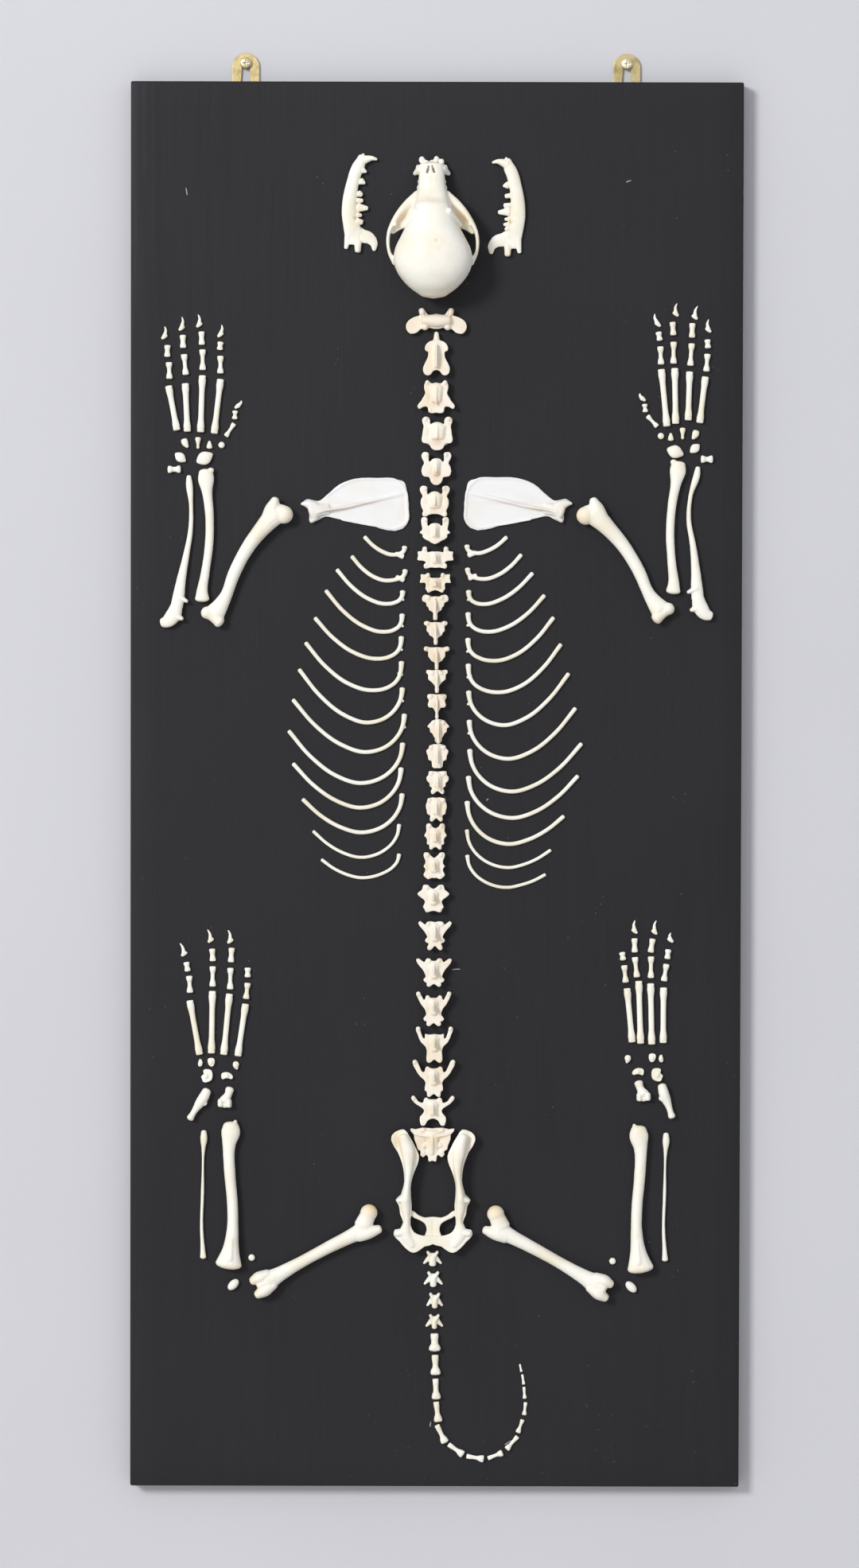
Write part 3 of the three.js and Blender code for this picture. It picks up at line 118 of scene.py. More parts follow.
def limb(stations, sides=14, steps=5, tip=0.6):
    """A bar of bone through stations of u, v, h, half width across the board and half depth out of it."""
    rows = splined(stations, steps)
    rows[:, 3:] = np.maximum(rows[:, 3:], 0.25)
    courses = np.gradient(rows[:, :3], axis=0)
    courses /= np.linalg.norm(courses, axis=1)[:, None]
    steep = abs(courses[0][2]) > 0.85 or abs(courses[-1][2]) > 0.85
    outward = np.array([0, 1.0, 0] if steep else [0, 0, 1.0])
    turns = np.linspace(0, 2 * math.pi, sides, endpoint=False)
    rings = []

    def ring(row, course, share=1.0, ahead=0.0):
        across = np.cross(course, outward)
        across /= np.linalg.norm(across)
        up = np.cross(across, course)
        middle = row[:3] + course * ahead
        return (middle + np.outer(np.cos(turns), across) * row[3] * share
                + np.outer(np.sin(turns), up) * row[4] * share)

    reach_first, reach_last = tip * min(rows[0][3:]), tip * min(rows[-1][3:])
    for angle in (1.05, 0.55):
        rings.append(ring(rows[0], courses[0], math.cos(angle), -reach_first * math.sin(angle)))
    rings += [ring(row, course) for row, course in zip(rows, courses)]
    for angle in (0.55, 1.05):
        rings.append(ring(rows[-1], courses[-1], math.cos(angle), reach_last * math.sin(angle)))
    return skin(rings, rows[0][:3] - courses[0] * reach_first, rows[-1][:3] + courses[-1] * reach_last)


def bulb(place, radii, sides=16, rows=9):
    """A rounded knob."""
    turns = np.linspace(0, 2 * math.pi, sides, endpoint=False)
    rings = []
    for row in range(1, rows):
        angle = math.pi * row / rows
        flat = np.stack([np.cos(turns) * math.sin(angle), np.full(sides, -math.cos(angle)),
                         np.sin(turns) * math.sin(angle)], 1)
        rings.append(flat * radii + place)
    low, high = np.array(place, float), np.array(place, float)
    low[1] -= radii[1]
    high[1] += radii[1]
    return skin(rings, low, high)


def plate(outline, low, thickness, steps=3):
    """A flat plate of bone from its outline on the board, which is rounded between its points."""
    loop = np.array([*outline, outline[0]], float)
    padded = np.concatenate([loop[-3:-1], loop, loop[1:3]])
    curve = splined(np.pad(padded, ((0, 0), (0, 1))), steps)[2 * steps:-2 * steps - 1, :2]
    count = len(curve)
    bottom = np.column_stack([curve, np.full(count, low)])
    top = np.column_stack([curve, np.full(count, low + thickness)])
    faces = [tuple(range(count - 1, -1, -1)), tuple(range(count, 2 * count))]
    for a in range(count):
        b = (a + 1) % count
        faces.append((a, b, b + count, a + count))
    return np.concatenate([bottom, top]), faces


def symmetric(right_half):
    """The right half of an outline, from the top down, with its mirror image added."""
    left_half = [(-u, v) for u, v in right_half if u > 0]
    return [*right_half, *left_half[::-1]]


def mirrored(parts):
    """Bodies as seen in a mirror that stands on u = 0."""
    return [(points * (-1, 1, 1), [face[::-1] for face in faces]) for points, faces in parts]


def both_sides(parts):
    return [*parts, *mirrored(parts)]


def flipped(spots):
    """Dents, stains and painted shade spots, as seen in the same mirror."""
    return [((-u, v, h), radii, value) for (u, v, h), radii, value in spots]


def set_on_board(points, place=(0, 0), turn=0.0):
    """Points in (u, v, h) turned, moved to their place and given in metres in the world's x, y and z."""
    c, s = math.cos(math.radians(turn)), math.sin(math.radians(turn))
    u = place[0] + points[:, 0] * c - points[:, 1] * s
    v = place[1] + points[:, 0] * s + points[:, 1] * c
    return np.column_stack([u, -(BOARD_FACE + points[:, 2]), v - HANG_RISE]) * MM


# ---- Meshes ----


def linked(name, data):
    """A new object, put into the scene."""
    made = bpy.data.objects.new(name, data)
    bpy.context.scene.collection.objects.link(made)
    return made


def mesh_of(parts, name):
    """One mesh of several bodies."""
    points, faces, start = [], [], 0
    for part_points, part_faces in parts:
        points.append(part_points)
        faces += [tuple(start + index for index in face) for face in part_faces]
        start += len(part_points)
    mesh = bpy.data.meshes.new(name)
    mesh.from_pydata(np.concatenate(points).tolist(), [], faces)
    mesh.update()
    return mesh


def evaluated(mesh, modifiers):
    """The mesh after a row of modifiers, each a kind and its settings."""
    holder = linked("holder", mesh)
    for kind, settings in modifiers:
        modifier = holder.modifiers.new(kind.lower(), kind)
        for key, value in settings.items():
            setattr(modifier, key, value)
    graph = bpy.context.evaluated_depsgraph_get()
    made = bpy.data.meshes.new_from_object(holder.evaluated_get(graph))
    bpy.data.objects.remove(holder)
    bpy.data.meshes.remove(mesh)
    return made


def coordinates(mesh):
    flat = np.empty(len(mesh.vertices) * 3, np.float32)
    mesh.vertices.foreach_get("co", flat)
    return flat.reshape(-1, 3).astype(float)


def signed_volume(mesh):
    points = coordinates(mesh)
    mesh.calc_loop_triangles()
    flat = np.empty(len(mesh.loop_triangles) * 3, np.int32)
    mesh.loop_triangles.foreach_get("vertices", flat)
    a, b, c = points[flat.reshape(-1, 3)].transpose(1, 0, 2)
    return np.einsum("ij,ij->i", a, np.cross(b, c)).sum()


def turn_outward(mesh):
    """The drawing is a mirror image of the world, which can turn faces inside out."""
    if signed_volume(mesh) < 0:
        mesh.flip_normals()


def set_points(mesh, points):
    mesh.vertices.foreach_set("co", points.astype(np.float32).ravel())
    turn_outward(mesh)
    mesh.update()


def near(points, place, radii):
    """How close points lie to a place: 1 there, near 0 at a distance of two radii."""
    scaled = (points - np.array(place, float)) / np.array(radii, float)
    return np.exp(-np.sum(scaled**2, axis=1))


def lumps(points, seed):
    """Slow unevenness of a natural surface, near -1 to 1."""
    draw = random.Random(seed)
    total = np.zeros(len(points))
    for scale in (0.35, 0.6, 1.1):
        for _ in range(3):
            course = np.array([draw.uniform(-1, 1) for _ in range(3)])
            total += np.sin(points @ course * scale * 2 + draw.uniform(0, 6.28)) * 0.3 / scale**0.5
    return total * 0.4


def add_piece(name, mesh, material, slot, *nodes):
    """A piece of the model, in the place of its nodes. The slot argument is not used."""
    mesh.materials.clear()
    mesh.materials.append(material)
    mesh.shade_smooth()
    piece = linked(name, mesh)
    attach(piece, "root")
    if nodes:
        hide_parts(*nodes)
    return piece


def grow(name, parts, material, nodes, place=(0, 0), turn=0.0, voxel=MIDDLE, smooth=5, dents=(), stains_and_shade=(),
         blushes_and_shade=(), shear=0.0, rough=0.05, cuts=(), floor=GAP):
    """A bone: its parts melted into one skin, dented, made a little uneven and set on the board."""
    settings = [("REMESH", {"mode": "VOXEL", "voxel_size": voxel})]
    if cuts:
        cutter_mesh = mesh_of(cuts, "cutter")
        turn_outward(cutter_mesh)
        cutter = linked("cutter", cutter_mesh)
        settings.append(("BOOLEAN", {"operation": "DIFFERENCE", "solver": "EXACT", "object": cutter}))
        settings.append(("REMESH", {"mode": "VOXEL", "voxel_size": voxel}))
    settings.append(("SMOOTH", {"factor": 0.5, "iterations": smooth}))
    settings.append(("DECIMATE", {"ratio": KEPT_SHARE}))
    mesh = evaluated(mesh_of(parts, name), settings)
    if cuts:
        bpy.data.objects.remove(cutter)
    points = coordinates(mesh)
    for place_at, radii, push in dents:
        points += np.outer(near(points, place_at, radii), push)
    normals = np.empty(len(points) * 3, np.float32)
    mesh.vertices.foreach_get("normal", normals)
    points += normals.reshape(-1, 3) * (lumps(points, len(points)) * rough)[:, None]
    # Stains, marrow and painted shade in hollows and pits are stored as the two spot attributes
    for key, spots in (("stain_and_shade", stains_and_shade), ("blush_and_shade", blushes_and_shade)):
        amount = np.zeros(len(points))
        for place_at, radii, strength in spots:
            amount = np.maximum(amount, strength * near(points, place_at, radii))
        mesh.attributes.new(key, "FLOAT", "POINT").data.foreach_set("value", amount.astype(np.float32))
    points[:, 2] = np.maximum(points[:, 2], floor)
    points[:, 0] += shear * points[:, 1]
    set_points(mesh, set_on_board(points, place, turn))
    add_piece(name, mesh, material, "bone", *nodes)


def grow_glued(name, parts, rough=0.05):
    """A group of small bones that are glued to the board and one solid with it."""
    grow(name, parts, IVORY, ["board"], voxel=FINE, smooth=3, floor=GLUED_FLOOR, rough=rough)


# ---- Materials ----


class Paint:
    """A material's nodes, added one by one."""

    def __init__(self, name):
        self.material = bpy.data.materials.new(name)
        self.material.use_nodes = True
        self.tree = self.material.node_tree
        self.shader = self.tree.nodes["Principled BSDF"]

    def node(self, kind, settings=None, **inputs):
        made = self.tree.nodes.new(kind)
        for key, value in (settings or {}).items():
            setattr(made, key, value)
        for key, value in inputs.items():
            self.put(made.inputs[key.replace("_", " ")], value)
        return made

    def put(self, socket, value):
        if isinstance(value, bpy.types.NodeSocket):
            self.tree.links.new(value, socket)
        elif isinstance(value, tuple) and len(value) == 3 and socket.type == "RGBA":
            socket.default_value = (*value, 1)
        else:
            socket.default_value = value

    def place(self, stretch=(1, 1, 1)):
        """The place on the object, in metres, stretched along each axis."""
        coordinate = self.node("ShaderNodeTexCoord").outputs["Object"]
        return self.node("ShaderNodeMapping", Vector=coordinate, Scale=stretch).outputs["Vector"]

    def noise(self, scale, detail=4.0, roughness=0.5, stretch=(1, 1, 1)):
        return self.node("ShaderNodeTexNoise", Vector=self.place(stretch), Scale=scale, Detail=detail,
                         Roughness=roughness).outputs["Fac"]

    def cells(self, scale):
        return self.node("ShaderNodeTexVoronoi", Vector=self.place(), Scale=scale).outputs["Distance"]

    def ramp(self, value, low, high, start=0.0, end=1.0):
        """The value's stretch from low to high, as a smooth step from start to end."""
        made = self.node("ShaderNodeMapRange", {"interpolation_type": "SMOOTHSTEP"}, Value=value)
        made.inputs["From Min"].default_value = low
        made.inputs["From Max"].default_value = high
        made.inputs["To Min"].default_value = start
        made.inputs["To Max"].default_value = end
        return made.outputs["Result"]

    def mix(self, share, first, second):
        made = self.node("ShaderNodeMix", {"data_type": "RGBA"})
        self.put(made.inputs["Factor"], share)
        self.put(made.inputs[6], first)
        self.put(made.inputs[7], second)
        return made.outputs[2]

    def math(self, operation, first, second):
        made = self.node("ShaderNodeMath", {"operation": operation})
        self.put(made.inputs[0], first)
        self.put(made.inputs[1], second)
        return made.outputs[0]

    def bump(self, height, distance, strength=1.0, normal=None):
        made = self.node("ShaderNodeBump", Height=height, Distance=distance, Strength=strength)
        if normal is not None:
            self.put(made.inputs["Normal"], normal)
        return made.outputs["Normal"]

    def set(self, **inputs):
        for key, value in inputs.items():
            self.put(self.shader.inputs[key.replace("_", " ")], value)
        return self.material


# Yellowed ends of bones and reddish marrow that shows through; the same two colours also paint shade into the eye
# sockets, along the step of the nose and into small pits of the skull and jaws
SPOT_COLOURS = {"stain_and_shade": (0.80, 0.58, 0.28), "blush_and_shade": (0.62, 0.34, 0.22)}


def bone_material(name, pale, warm, painted_shade):
    """Dry bone: warmer in patches, with painted shade that turns it brownish in hollows and leaves its raised parts
    paler, and fine pores.
    """
    paint = Paint(name)
    patches = paint.ramp(paint.noise(38, 3, 0.55), 0.42, 0.68)
    colour = paint.mix(patches, pale, warm)
    streaks = paint.ramp(paint.noise(260, 3, 0.6), 0.56, 0.74, 0.0, 0.3)
    colour = paint.mix(streaks, colour, warm)
    # Painted shade: where pointiness is low, in hollows, the colour turns towards the shade colour
    pointiness = paint.node("ShaderNodeNewGeometry").outputs["Pointiness"]
    colour = paint.mix(paint.ramp(pointiness, 0.49, 0.41, 0.0, 0.75), colour, painted_shade)
    # The spot attributes also carry painted shade in the eye sockets, on the step of the nose and in small pits
    for key, spot_colour in SPOT_COLOURS.items():
        amount = paint.node("ShaderNodeAttribute", {"attribute_name": key}).outputs["Fac"]
        colour = paint.mix(amount, colour, spot_colour)
    # Painted shade in the pores: their middles are darkened towards the same shade colour
    pores = paint.ramp(paint.cells(1500), 0.06, 0.2)
    colour = paint.mix(paint.math("MULTIPLY", paint.math("SUBTRACT", 1.0, pores), 0.16), colour, painted_shade)
    grain = paint.bump(paint.noise(900, 5, 0.6), 0.00012)
    normal = paint.bump(pores, 0.00006, 0.6, grain)
    gloss = paint.ramp(paint.noise(120, 2), 0.3, 0.7, 0.42, 0.6)
    return paint.set(Base_Color=colour, Roughness=gloss, Normal=normal, Specular_IOR_Level=0.4)


def board_material():
    """Wood under matt black paint: upright grain, roller marks, dust specks and greyer edges."""
    paint = Paint("black_painted_wood")
    grain = paint.noise(26, 6, 0.62, (9, 9, 0.35))
    fibres = paint.noise(120, 3, 0.6, (8, 8, 0.22))
    cloud = paint.noise(6, 3, 0.5)
    colour = paint.mix(paint.ramp(grain, 0.35, 0.68), (0.0112, 0.011, 0.0128), (0.0135, 0.0132, 0.0152))
    colour = paint.mix(paint.ramp(cloud, 0.3, 0.7, 0.0, 0.5), colour, (0.0155, 0.0152, 0.0175))
    specks = paint.ramp(paint.cells(210), 0.075, 0.03)
    rare = paint.ramp(paint.noise(42, 2), 0.58, 0.66)
    colour = paint.mix(paint.math("MULTIPLY", paint.math("MULTIPLY", specks, rare), 0.8), colour, (0.24, 0.23, 0.22))
    edge = paint.node("ShaderNodeNewGeometry").outputs["Pointiness"]
    colour = paint.mix(paint.ramp(edge, 0.54, 0.64, 0.0, 0.4), colour, (0.075, 0.07, 0.066))
    gloss = paint.ramp(grain, 0.3, 0.7, 0.5, 0.64)
    normal = paint.bump(fibres, 0.0002, 0.3, paint.bump(grain, 0.0004, 0.25))
    return paint.set(Base_Color=colour, Roughness=gloss, Normal=normal, Specular_IOR_Level=0.25)


def brass_material(name, bright, dull, rough_low, rough_high):
    """Worn brass with tarnish in patches and fine brush marks."""
    paint = Paint(name)
    tarnish = paint.ramp(paint.noise(140, 5, 0.6), 0.4, 0.7)
    colour = paint.mix(tarnish, bright, dull)
    marks = paint.noise(500, 3, 0.6, (12, 1, 0.6))
    gloss = paint.ramp(marks, 0.3, 0.7, rough_low, rough_high)
    return paint.set(Base_Color=colour, Roughness=gloss, Metallic=1.0, Normal=paint.bump(marks, 0.00008, 0.6))


def plain_material(name, colour, low, high, scale):
    """One uneven colour, with a roughness from low to high."""
    paint = Paint(name)
    darker = tuple(channel * 0.93 for channel in colour)
    tone = paint.mix(paint.ramp(paint.noise(scale, 4), 0.3, 0.7), colour, darker)
    return paint.set(Base_Color=tone, Roughness=paint.ramp(paint.noise(scale * 4, 2), 0.3, 0.7, low, high),
                     Normal=paint.bump(paint.noise(scale * 14, 4, 0.6), 0.0004, 0.4))


IVORY = bone_material("ivory_bone", (0.88, 0.85, 0.765), (0.82, 0.76, 0.61), (0.52, 0.40, 0.24))
PINKISH = bone_material("pinkish_bone", (0.85, 0.79, 0.69), (0.80, 0.69, 0.53), (0.50, 0.34, 0.21))
COOL = bone_material("cool_white_bone", (0.79, 0.787, 0.775), (0.78, 0.755, 0.70), (0.56, 0.47, 0.33))
PAINT = board_material()

# ---- Skull and lower jaws ----

SKULL_PLACE = (-2.3, 318.1)
SNOUT_LEAN = -0.016
# Rise, half width, under side and top, from the blunt back to the snout
SKULL_RINGS = [
    (1, 7.5, 8, 24), (5.4, 14, 4.5, 32), (12, 20.6, 3, 38), (21, 25.2, 2.5, 41.5), (31, 24.6, 3, 42),
    (40, 20.4, 4, 40), (48, 16.4, 5, 36.5), (57, 13.6, 6, 32), (61, 12.6, 6, 29.2), (63, 11.6, 5.5, 26.2),
    (70, 9.4, 4, 20.5), (80, 8.4, 3, 16.5), (87.5, 7.6, 3, 12.5),
]
SKULL_SIDES = 48
# How much of its ring's height the skull's rounded skin fills
SKULL_FULLNESS = 0.963
# Cheek teeth on one side: u, v and half length
CHEEK_TEETH = [(8.2, 76.4, 1.6), (8.8, 72.4, 2), (10.4, 67.6, 2.8), (11, 63, 2.4)]


def skull_hull():
    rows = splined([(0, v, 0, half, low, top) for v, half, low, top in SKULL_RINGS], 5)
    turns = (np.arange(SKULL_SIDES) + 0.5) / SKULL_SIDES * 2 * math.pi
    c, s = np.cos(turns), np.sin(turns)
    flatter_u, flatter_h = np.sign(c) * np.abs(c) ** 0.9, np.sign(s) * np.abs(s) ** 0.9
    rings = [np.column_stack([half * flatter_u, np.full(SKULL_SIDES, v),
                              (low + top) / 2 + (top - low) / 2 * SKULL_FULLNESS * flatter_h])
             for _, v, _, half, low, top in rows]
    return skin(rings, (0, -0.4, 15), (0, 89.4, 8))


def skull():
    right_side = [
        limb([(9, 67, 11, 3.4, 3.4), (17, 60, 13.6, 2.8, 2.8), (24.6, 50, 15.5, 2, 3), (28.3, 42.5, 16.5, 1.3, 3),
              (29.1, 35.5, 17, 1.15, 3), (28, 28.5, 17.5, 1.2, 2.4), (24.4, 22.6, 17, 2.2, 2.4)]),
        plate([(11, 62), (18, 58.5), (25, 49.5), (28, 43.6), (26.4, 41.6), (22, 44), (19, 45.2), (12, 47)], 9, 5),
        limb([(10, 55, 28.5, 3, 2.6), (18, 47, 20, 1.5, 2)]),
        limb([(24.6, 49, 15, 1.8, 1.6), (24.4, 47, 18.4, 1.2, 1)]),
        limb([(6.6, 84.6, 8, 2.6, 3.2), (9.2, 82.8, 5, 2.3, 2.3), (11.4, 81.6, 2.6, 1.3, 1.3)]),
        bulb((8.6, 85.6, 5), (1.9, 1.9, 2.4)),
    ]
    cheek_teeth = [bulb((side * u, v, 3.2), (1.2, size, 2.2)) for side in (-1, 1) for u, v, size in CHEEK_TEETH]
    incisors = [bulb((-6.3, 90.4, 4.6), (2.1, 2.5, 2.4)), bulb((3.2, 91, 4.6), (1.8, 2.2, 2.2)),
                bulb((6.5, 89.4, 4.2), (1.9, 2, 2.2)), bulb((-3.4, 88.8, 5), (1.6, 1.7, 2)),
                bulb((0.2, 89, 5), (1.6, 1.6, 2))]
    slits = [limb([(-3, 81.4, 15, 0.85, 5), (-1.8, 86, 12, 0.6, 5)]),
             limb([(1.6, 81.4, 15, 0.85, 5), (0.4, 86, 12, 0.6, 5)])]
    dents = [
        ((13.5, 60, 20), (4, 6, 6), (-1, 0, -1.6)),
        ((-13.5, 60, 20), (4, 6, 6), (1, 0, -1.6)),
        ((18, 52, 14), (4, 4, 3), (0, 0, -1.6)),
        ((-18, 52, 14), (4, 4, 3), (0, 0, -1.6)),
        ((2.6, 35.4, 42), (0.8, 0.8, 2), (0, 0, -1.4)),
        ((0, 66, 24), (6, 4, 4), (0, 0, -0.9)),
        ((0, 78, 17), (1.2, 9, 3), (0, 0, -0.3)),
    ]
    # The first two spots are painted shade in the eye sockets, the third is a stain at the back and the last is a
    # painted shadow line along the step of the nose
    stains_and_shade = [((19, 52, 14), (6, 7, 7), 0.45), ((-19, 52, 14), (6, 7, 7), 0.4), ((0, 2, 18), (16, 5, 14), 0.3),
              ((0, 63, 26), (9, 3, 6), 0.2)]
    grow("skull_bone", [skull_hull(), *both_sides(right_side), *cheek_teeth, *incisors], IVORY, ["skull"],
         SKULL_PLACE, voxel=COARSE, smooth=4, dents=dents, stains_and_shade=stains_and_shade, shear=SNOUT_LEAN, cuts=slits,
         # The first blush is painted shade in the small pit on the crown
         blushes_and_shade=[((2.6, 35.4, 42), (0.5, 0.5, 3), 0.8), ((16, 64, 15), (3, 4, 4), 0.12)])


# Teeth of the lower jaws: u and v of root and tip, half width of root and tip
LEFT_TEETH = [
    (-0.3, -10.4, -2.8, -11.4, 2.3, 0.85), (0.3, -17.6, -2.2, -18.8, 2.5, 0.95), (1.5, -25.6, -0.7, -26.6, 2.3, 1.45),
    (1.7, -30.2, -1.3, -30.2, 1.7, 1.35), (1.5, -34.8, -4.7, -35, 3.1, 1.35), (1.5, -39.6, -0.9, -39.8, 1.7, 1.15),
    (1.5, -43.8, -1.8, -44.2, 2.2, 1.65),
]
RIGHT_TEETH = [
    (0.3, -17.8, -2.2, -18.3, 2.5, 0.95), (1.7, -24.6, -1, -24.9, 1.7, 1.45), (1.9, -30.8, -1.8, -30.9, 1.7, 1.45),
    (1.5, -35, -5.4, -35.4, 3.1, 1.35), (1.5, -39.8, -1.2, -39.9, 1.6, 1.05), (1.5, -43.2, -1.9, -43.3, 1.6, 1.05),
    (1.1, -46, -1.1, -46.4, 1.6, 1.05),
]


def jaw(teeth):
    parts = [
        limb([(0.9, -1.4, 2.2, 1.9, 2), (1.6, -6, 2.4, 3.8, 2.3), (3.5, -10.5, 2.6, 4.1, 2.5),
              (5.5, -18, 2.7, 4.1, 2.6), (7, -28, 2.7, 4.6, 2.6), (7.2, -38, 2.6, 4.9, 2.4),
              (4.9, -48, 2.1, 5.6, 1.9), (3.4, -53, 1.9, 6.1, 1.6)]),
        limb([(3, -51, 1.6, 5.4, 1.2), (-2, -53, 1.5, 4.6, 1.2), (-6.6, -54.2, 1.4, 4, 1.1),
              (-9.7, -57.4, 1.3, 2.9, 1), (-10.3, -62, 1.3, 1.2, 0.8)]),
        limb([(3.8, -50, 2, 5.2, 1.6), (3.6, -58.2, 1.8, 4.6, 1.4)]),
        limb([(0.6, -57, 2, 2.5, 1.9), (0.4, -63, 2.4, 2, 2.1)]),
        limb([(6.8, -52, 2, 2.8, 1.6), (8.2, -61.4, 1.7, 1.3, 1.2)]),
        limb([(0.6, -4.4, 2.8, 3.2, 2.2), (-3, -3, 2.9, 2.4, 2), (-6, -2.4, 3, 1.6, 1.6), (-9.3, -3, 3, 0.8, 0.9)]),
        limb([(0.6, -2, 2.6, 1.4, 1.4), (-0.6, 0, 2.4, 0.9, 0.9)]),
    ]
    for root_u, root_v, tip_u, tip_v, root_half, tip_half in teeth:
        parts.append(limb([(root_u, root_v, 2.8, root_half, 1.5), (tip_u, tip_v, 2.8, tip_half, 0.8)]))
    return parts


JAW_DENTS = [((2.5, -53, 4), (3.4, 4, 3), (0, 0, -0.7)), ((2.6, -42, 4.4), (1, 1, 2), (0, 0, -1.7))]
# The last stain is painted shade in the small pit of the jaw
JAW_STAINS_AND_SHADE = [((4, -36, 3), (5, 9, 4), 0.12), ((0, -62, 3), (4, 3, 3), 0.25), ((2.6, -42, 4), (1, 1, 2), 0.8)]


def lower_jaws():
    grow("jaw_left", mirrored(jaw(LEFT_TEETH)), IVORY, ["mandible_left"], (-48.7, 412.4), -2.4, voxel=FINE, smooth=3,
         dents=flipped(JAW_DENTS), stains_and_shade=flipped(JAW_STAINS_AND_SHADE))
    grow("jaw_right", jaw(RIGHT_TEETH), IVORY, ["mandible_right"], (45.3, 410.2), 0.2, voxel=FINE, smooth=3,
         dents=JAW_DENTS, stains_and_shade=JAW_STAINS_AND_SHADE)


# ---- Backbone ----


def atlas():
    wings = symmetric([(0, 4.8), (5.6, 4.4), (7.8, 7.4), (9.8, 8.6), (11.6, 7.4), (10.4, 4.4), (15, 2.4), (19, -0.6),
                       (19.8, -4.4), (17.4, -8), (13, -7.6), (9.4, -5), (7.6, -5.8), (4.6, -4.2), (2.4, -4.8), (0, -5)])
    parts = [plate(wings, 2.4, 2.4), limb([(-8, 0.6, 4.6, 3.4, 4), (0, 0.2, 5, 4.2, 4.4), (8, 0.6, 4.6, 3.4, 4)]),
             *both_sides([bulb((9.4, 6, 5), (2, 2.6, 2.6)), bulb((7.4, -3.8, 4.6), (2.2, 2.2, 2.6))])]
    grow("atlas_bone", parts, PINKISH, ["atlas"], (-0.4, 303.8), smooth=3,
         dents=[((side * 14.5, -2.6, 5), (3.6, 2.6, 3), (0, 0, -1)) for side in (-1, 1)],
         stains_and_shade=[((side * 8, 0.6, 6), (3, 4, 4), 0.3) for side in (-1, 1)])


def axis():
    outline = symmetric([(0, 8), (2.6, 8.2), (6.4, 6), (7.6, 2.8), (7, 1.4), (5.6, 1), (5.6, -2.6), (7.2, -6),
                         (8.8, -10.4), (7.8, -13.6), (5.8, -14.6), (3.6, -13.8), (2.4, -12), (0, -11)])
    parts = [plate(outline, 3.2, 3.2),
             limb([(0, -9, 3.6, 5, 3.3), (0, 3, 3.8, 5, 3), (0, 9, 3.6, 2.2, 2.2), (0, 13.2, 3.2, 1.4, 1.6)]),
             limb([(0, -9, 8, 1.2, 2), (0, -3, 8.4, 1, 3.2), (0, 5, 7.6, 0.8, 2)])]
    grow("axis_bone", parts, PINKISH, ["axis"], (-0.3, 283), smooth=3, stains_and_shade=[((0, -9, 6), (4, 4, 4), 0.2)],
         dents=[((side * 3.4, 3, 8), (1.2, 5, 4), (0, 0, -0.7)) for side in (-1, 1)])


def vertebra(name, place, high, spine, half, blush_and_shade=()):
    """A bone of the back from the right half of its outline, with a body under it and its spine on top."""
    top, low = half[0][1], half[-1][1]
    horn = max(half[1:], key=lambda point: point[1] - abs(point[0]) * 0.1)
    lobe = min(half[:-1], key=lambda point: point[1])
    waist = min(u for u, v in half[1:-1] if abs(v - (top + low) / 2) < 4.2)
    parts = [
        plate(symmetric(half), high * 0.3, high * 0.36, 2),
        limb([(0, max(low + 2, -6.4), high * 0.3, waist * 0.8, high * 0.3),
              (0, top - 2.6, high * 0.3, waist * 0.8, high * 0.3)]),
        limb([(0, top - 3, high * 0.64, waist * 0.66, high * 0.2),
              (0, max(low, -8) * 0.4, high * 0.64, waist * 0.5, high * 0.2)]),
        limb([(0, top - 3.4, high * 0.74, 1, high * 0.16), (0, spine[0] * 0.4, high * spine[1] * 0.9, 0.8, 1.4),
              (0, spine[0], high * spine[1], 0.7, 0.8)]),
        bulb((0, top - 3.2, high * 0.56), (waist * 0.56, 3, high * 0.28)),
    ]
    if horn[0] > 2:
        parts += both_sides([bulb((horn[0], horn[1] - 1.6, high * 0.6), (1.5, 1.7, 1.7))])
    if lobe[0] > 2:
        parts += both_sides([bulb((lobe[0], lobe[1] + 1.8, high * 0.56), (1.3, 1.8, 1.5))])
    dents = [((side * waist * 0.62, -0.6, high * 0.8), (1.2, 3.4, 3), (0, 0, -0.9)) for side in (-1, 1)]
    grow(f"{name}_bone", parts, PINKISH, [name], place, smooth=2, voxel=MIDDLE, dents=dents, blushes_and_shade=blush_and_shade,
         stains_and_shade=[((0, low * 0.3, high * 0.8), (waist * 0.6, 4, 3), 0.2)])


